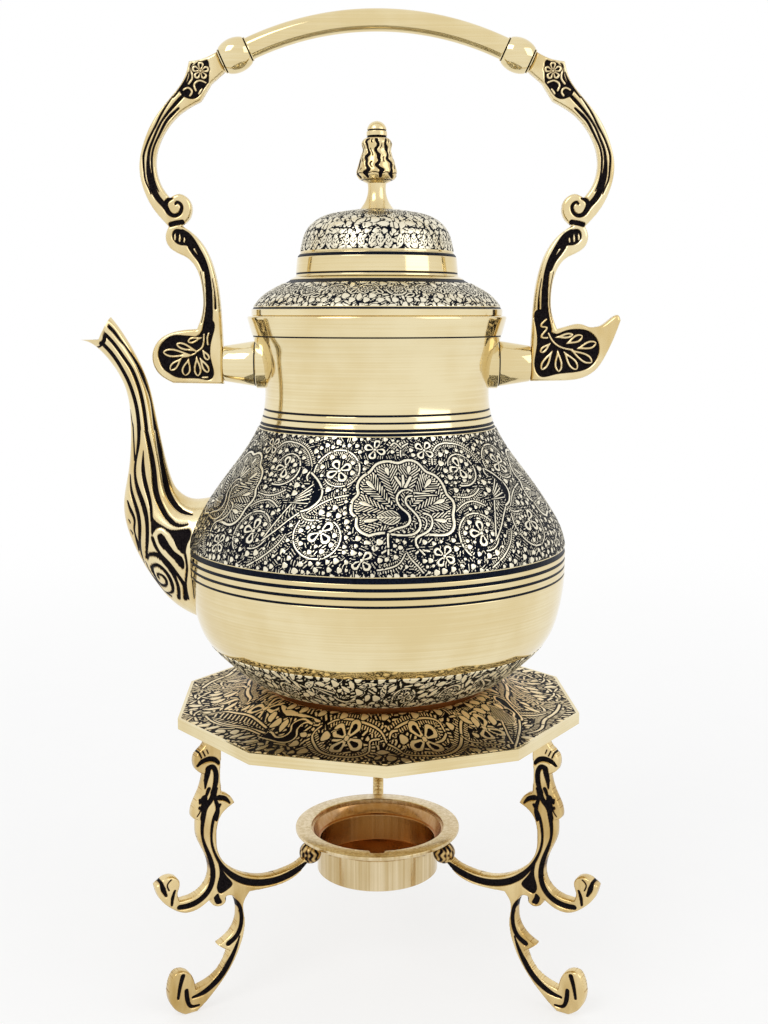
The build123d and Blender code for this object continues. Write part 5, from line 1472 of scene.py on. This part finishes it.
# an arm drawn flat: millimetres from the pot's axis and above the pivot
armShape = {
    "gauge": 6.0, "edge": 1.5, "step": 0.3, "depth": 0.85, "drawnReach": (63.9, 96.1), "seat": 4.0,
    "face": cornersOf("boss_right")[1][0] + 0.3,
    "level": (cornersOf("boss_left")[0][2] + cornersOf("boss_left")[1][2]) / 2,
    "reach": -cornersOf("handle_arm_left")[0][0],
    "outside": [[(69.5, 122), (75.3, 120.9)], [(77.1, 115), (83.2, 106.6), (90.3, 97.6), (94.4, 88.5),
        (96.1, 80.6), (94.6, 70.5), (90.5, 62.3), (84.9, 55.9)], [(86.2, 52.6), (85.3, 48.2), (82, 45.4),
        (77.4, 43), (73.3, 37), (71.8, 29.8), (72.2, 20.5), (74.4, 14.3)]],
    "rounded": [[(84.2, 13), (90.4, 9.4), (93, 2.7), (90.6, -4), (84.7, -8)], [(63.9, -8.4)]],
    "tailed": [[(78.8, 15.5), (83.5, 16.4), (87.2, 15.2)], [(91.5, 15.4), (96, 18.4), (99.3, 20),
        (100.4, 17.8)], [(98, 11), (94.6, 3.4), (90.2, -3), (84, -6.2), (77, -7)], [(63.9, -7.2)]],
    "inside": [[(63.9, 8)], [(64.3, 18), (65, 28), (67.2, 39.5), (71, 48.2), (75.6, 53.4), (79.6, 56.2)],
        [(77, 58.4), (75.4, 62.8), (76.8, 67), (80.4, 68.9), (84.2, 67.3)], [(87.2, 71.4), (89.4, 78.1),
        (88.9, 85.8), (85.4, 93.7), (79.3, 100.6), (70.9, 105.6)], [(66.6, 112.4)]],
    "lines": [([(75.4, 116.5), (76.5, 113.6), (78.8, 110.2), (81.6, 106.8)], (0.3, 1, 0.9, 0.6)), ([(77.2, 108),
        (80, 105.2), (83.3, 101.5), (86, 98.1), (88.2, 94.4), (90.1, 90.2), (91.5, 86.8), (92.2, 83.2),
        (92.2, 77), (91, 72.1), (88.8, 67.1), (85.7, 63.3), (84.6, 61.4), (82.6, 60.2), (80.4, 60.9),
        (79.4, 62.8), (79.8, 64.8), (81.3, 65.5), (81.8, 64.8)], (1.1, 1.3, 1.2, 1, 0.9, 0.9, 0.9, 1, 1.1, 1.4,
        2, 2.4, 2.4, 2.2, 2.1, 1.7, 1.4, 1.3, 0.9)), ([(82, 107), (84, 104.2), (86.7, 100), (89.2, 95.2),
        (91.9, 90.2), (93.2, 87), (94, 84.5), (94.1, 78.3), (93.5, 73.7), (92.3, 70.8), (91.6, 68.8)], (0.4,
        0.7, 0.8, 0.8, 0.8, 0.8, 0.8, 0.8, 0.7, 0.6, 0.4)), ([(79.6, 102.5), (81.6, 100.7), (84.6, 97.5),
        (86.6, 94.1), (88.6, 90.2), (89.8, 87.6), (90.8, 83.2), (90.7, 77.6), (89.8, 73.1), (88.3, 69.6)], (0.8,
        1.3, 1.1, 0.9, 0.8, 0.8, 0.8, 0.7, 0.6, 0.3)), ([(83.1, 67), (84.8, 66.4), (85.6, 65.2), (85.5, 63.5)],
        (0.8, 1.5, 1.6, 1.5)), ([(83.9, 56.6), (82.2, 57.1), (79.3, 57.6)], 1.9), ([(79.3, 53.8), (77.4, 52.7),
        (75.2, 50.2), (73, 46.2), (71.1, 42.3), (70, 38.6), (69.3, 34), (69, 28.9), (69, 23.8), (69.4, 18.9),
        (70, 14)], (1.8, 1.8, 1.9, 2, 2, 2.2, 2.5, 2.6, 2.9, 3.4, 4.2)), ([(76.5, 47.6), (75.1, 45.4),
        (72.8, 42.3), (70.9, 38.6)], (1.5, 1.5, 1.5, 1.8)), ([(72.4, 37.7), (71.4, 31.8), (71.1, 26.1),
        (71.6, 20.3), (72.5, 16.6)], 0.25), ([(67.6, 34.9), (66.6, 27.5), (66.5, 22.6)], (0.25, 0.4, 0.8))],
    "plaque": [(67.4, 112.6), (67.2, 117), (67.9, 121.2), (71, 120.3), (74.2, 119.8), (75, 116.4),
        (76.6, 112.2), (78.9, 109), (76, 106.4), (72, 106.8), (69.6, 109.6)],
    "knob": [(83.3, 50.8), (83.4, 52.5), (82.4, 54.4), (80.6, 54.8), (78.5, 53.6), (76.2, 51), (74.3, 47.6),
        (75.6, 46.6), (77.5, 48), (79.6, 48.3), (82, 49.3)],
    "curls": [[(72.6, 120.2), (74.3, 117.6), (73.9, 114.6), (75.4, 112)], [(68.6, 112.4), (71.2, 113.2),
        (73.2, 111.8), (72.6, 109.4)], [(77.6, 109.6), (75.4, 110.4), (74.2, 108.9), (75, 107.4)], [(70.2, 110),
        (71.4, 108.2)]],
    "blossom": (70.6, 117, 3.7, 5, 20),
    "ticks": [((82.2, 53.6), (82.4, 50.2), 0.8), ((80.3, 53.4), (80.5, 49.5), 0.8), ((78.4, 52), (78.7, 49.3),
        0.7)],
    "roundedField": [(71.3, 15.1), (72.5, 13.4), (73.9, 11.6), (76.3, 11.4), (80.2, 11.7), (83.4, 11.8),
        (85.5, 11.1), (87.9, 9.3), (89.8, 6.7), (90.4, 3.9), (89.7, 0.7), (88.3, -2.2), (86.4, -3.7),
        (83.8, -5.3), (78.3, -6), (73.1, -6.3), (69, -6.4), (68.2, -5.6), (68.3, -0.4), (68.3, 10.1),
        (68.2, 18), (70.8, 18)],
    "roundedPetals": [((71.9, 10.9), (78.2, 9.1), 2.6), ((73.9, 5), (82.9, 8.2), 2.9), ((76.5, 3.7),
        (88.4, 4.8), 3.6), ((80.5, 2.7), (85.6, -2.7), 3.1), ((77.8, 2.5), (79.6, -4.9), 3.8), ((74.7, 3.5),
        (74.2, -5.2), 3.2), ((73.6, 2.9), (69.9, -3.7), 2.8), ((72.4, 6.1), (69.7, 1.5), 2.5)],
    "roundedStems": [[(71.4, 12.1), (71.6, 9.4), (72.2, 7), (74.9, 4.8)], [(69.5, 12.6), (70.1, 10.4),
        (69.9, 7.9)], [(72.5, -5.7), (70.3, -5.6)], [(74.9, 4.4), (77.5, 3.3), (80.5, 2.9)]],
    "tailedField": [(70.2, 22.1), (70.8, 18.3), (72.1, 13), (73.8, 12.3), (76.8, 13.3), (82.5, 14.3),
        (86.2, 13.8), (89.7, 11.4), (91.6, 7.7), (91.2, 3.1), (87.8, -1.5), (80.9, -3.6), (73.3, -4.6),
        (67.2, -4.9), (66.3, -3.8), (66.2, 10.7), (66, 22.1)],
    "tailedPetals": [((73.1, 10.7), (81, 12), 2.3), ((77.8, 8), (84.8, 11.5), 3.3), ((82.1, 6), (90.5, 8.6),
        3.4), ((79.2, 6.1), (89, 0.6), 3.8), ((77, 5.4), (82.8, -2.4), 3.7), ((74.7, 6.1), (75.4, -3.4), 3.3),
        ((72.8, 5.8), (68.2, -2.6), 3.1), ((72, 8.8), (67.6, 4.6), 2.5)],
    "tailedStems": [[(70.8, 12.6), (72.7, 9.2), (75.8, 6.9), (80.7, 5.8)], [(69.9, 18.3), (67.9, 15.3),
        (70, 14.9), (67.9, 11.1), (70.4, 10.7)]],
}


def makeArms(arm, grip):
    # the arms are drawn for the right side; the left one is the same drawing turned over, with its own foot
    slope = gripEnd(grip)[1]
    c, s = math.cos(slope), math.sin(slope)
    shoulder = np.array([grip["halfSpan"], grip["crown"] - grip["sag"]]) + grip["ferrule"] * np.array([c, -s])
    seat = arm["seat"] * np.array([s, c])
    # drawn distances and heights, and the real ones on which they land
    drawn = np.array([arm["drawnReach"], (0, arm["outside"][0][-1][1])])
    real = np.array([(arm["face"], arm["reach"]), (arm["level"], shoulder[1])])

    def moved(points, old, new):
        share = (np.array(points, float) - old[:, 0]) / np.ptp(old, axis=1)
        return new[:, 0] + share * np.ptp(new, axis=1)

    for side, name, foot in ((-1, "left", "rounded"), (1, "right", "tailed")):
        plate = Plate(58, -14, 48, 142)
        drawArm(plate, arm, foot)
        stretches = arm["outside"] + arm[foot] + arm["inside"]
        path = [[tuple(spot) for spot in moved(stretch, drawn, real)] for stretch in stretches]
        path += [[tuple(shoulder - seat)], [tuple(shoulder + seat)]]
        points, quads, ink = castPlate(moved(closedLine(path), real, drawn), arm, plate)
        points[:, [0, 2]] = moved(points[:, [0, 2]], drawn, real)
        points[:, 0] *= side
        node = "handle_arm_" + name
        makePiece("bail_arm_" + name, points, quads[:, ::side], "cast", "handle", node, ink, None, 55)
        print("arm made:", name, len(quads), "faces")


makePot(potShape)
makeBosses(bossShape, potShape)
makeSpout(spoutShape, potShape)
makeLid(lidShape)
makeFinial(finialShape)
makeGrip(gripShape)
makeArms(armShape, gripShape)
makeCup(cupShape)
makeLegs(legShape, trayShape)

# the engraved bands: wall, lowest and highest level, repeats round it, finish, body, spacing of the mesh,
# pieces, height of the bright metal and depth of the ground below it
for kind, wall, low, high, repeats, look, body, spacing, parts, proud, depth in (
        ("belly", shellLine(potShape, 1200), 189.0, 237.9, 5, "engraved", "pot", 0.31, 4, 0.17, 0.13),
        ("foot", bowlLine(potShape, 1200), 130.7, 149.0, 6, "foot", "pot", 0.42, 2, 0.17, 0.13),
        ("lid_flare", flareLine(lidShape, 900), 286.9, 296.4, 8, "lid", "lid", 0.32, 1, 0.17, 0.13),
        ("lid_dome", domeLine(lidShape, 900), 308.9, math.inf, 6, "lid", "lid", 0.31, 1, 0.15, 0.1)):
    run = wall[(wall[:, 1] > low) & (wall[:, 1] < high)]
    plate = drawBand(run, repeats, kind)
    layEngraving(kind + "_engraving", run, plate, repeats, look, body, spacing, parts, proud, depth)
layTray(trayShape, drawTray(trayShape), 2, 0.16, 0.12)

for node, look in (("tray", "polished"), ("lid_locating_ring", "polished"), ("finial_washer", "satin"),
                   ("finial_nut", "satin"), ("pivot_pin_left", "satin"), ("pivot_pin_right", "satin")):
    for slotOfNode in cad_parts[node].material_slots:
        slotOfNode.material = finishes[look]

studio = {
    "lens": 45.16, "spot": (0.01437, -0.5449, 0.2844), "tilt": 81.2,
    "floor": (0.9, 0.9, 0.9, 1), "floorLight": (0.93, 0.93, 0.93, 1), "near": 0.25, "far": 1.1, "shade": 0.65,
    # name, place, size and power of each soft lamp
    "lamps": (("key_lamp", (-0.9, -1.1, 1.5), 0.9, 7.0), ("fill_lamp", (1.2, -0.7, 0.9), 1.0, 3.5)),
    "aim": (0, 0, 0.2),
    "sky": 0.85,
    "stops": [(0.0, (0.6, 0.6, 0.6, 1)), (0.47, (0.7, 0.7, 0.7, 1)), (0.52, (1, 1, 1, 1)),
              (1.0, (0.95, 0.95, 0.95, 1))],
}


def addObject(name, data, spot=(0, 0, 0), turn=(0, 0, 0)):
    thing = bpy.data.objects.new(name, data)
    thing.location, thing.rotation_euler = spot, turn
    bpy.context.scene.collection.objects.link(thing)
    return thing


camera = bpy.data.cameras.new("photo_camera")
camera.lens, camera.sensor_width, camera.clip_start = studio["lens"], 36.0, 0.02
tilt = math.radians(studio["tilt"])
bpy.context.scene.camera = addObject("photo_camera", camera, studio["spot"], (tilt, 0, 0))

for name, spot, size, power in studio["lamps"]:
    lamp = bpy.data.lights.new(name, "AREA")
    lamp.size, lamp.energy = size, power
    addObject(name, lamp, spot, (Vector(studio["aim"]) - Vector(spot)).to_track_quat("-Z", "Y").to_euler())

# the floor is pale where the object stands and goes over to plain white farther away and to the camera's eye
floorMesh = bpy.data.meshes.new("floor")
floorMesh.from_pydata([(-4, -4, 0), (4, -4, 0), (4, 4, 0), (-4, 4, 0)], [], [(0, 1, 2, 3)])
floorTree = Tree(bpy.data.materials.new("pale_floor"))
place = floorTree.place()
floorColour = floorTree.mix(floorTree.noise(place, 40.0), studio["floor"], studio["floorLight"])
matte = floorTree.add("ShaderNodeBsdfPrincipled", None, {"Base Color": floorColour, "Roughness": 0.7})[0]
glow = floorTree.add("ShaderNodeEmission", None, {"Color": (1, 1, 1, 1), "Strength": 1.0})[0]
away = floorTree.vector("LENGTH", place).step(studio["near"], studio["far"])
seen = floorTree.seen() * (away * (1 - studio["shade"]) + studio["shade"])
floorMesh.materials.append(
    floorTree.close("Material", floorTree.add("ShaderNodeMixShader", None, {0: seen, 1: matte, 2: glow})[0]))
floor = addObject("floor", floorMesh)
floor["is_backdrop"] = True

world = bpy.data.worlds.new("studio_world")
bpy.context.scene.world = world
skyTree = Tree(world)
up = skyTree.add("ShaderNodeSeparateXYZ", None, {0: skyTree.add("ShaderNodeTexCoord")[0]})[2]
tone = skyTree.add("ShaderNodeValToRGB", {"stops": studio["stops"]}, {0: up * 0.5 + 0.5})[0]
dim = skyTree.add("ShaderNodeBackground", None, {"Color": tone, "Strength": studio["sky"]})[0]
white = skyTree.add("ShaderNodeBackground", None, {"Color": (1, 1, 1, 1), "Strength": 1.0})[0]
skyTree.close("World", skyTree.add("ShaderNodeMixShader", None, {0: skyTree.seen(), 1: dim, 2: white})[0])

bpy.context.scene.view_settings.view_transform = "Standard"
low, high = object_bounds()
triangles = sum(len(p.data.loops) - 2 * len(p.data.polygons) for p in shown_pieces() if p.type == "MESH")
print("triangles", triangles)
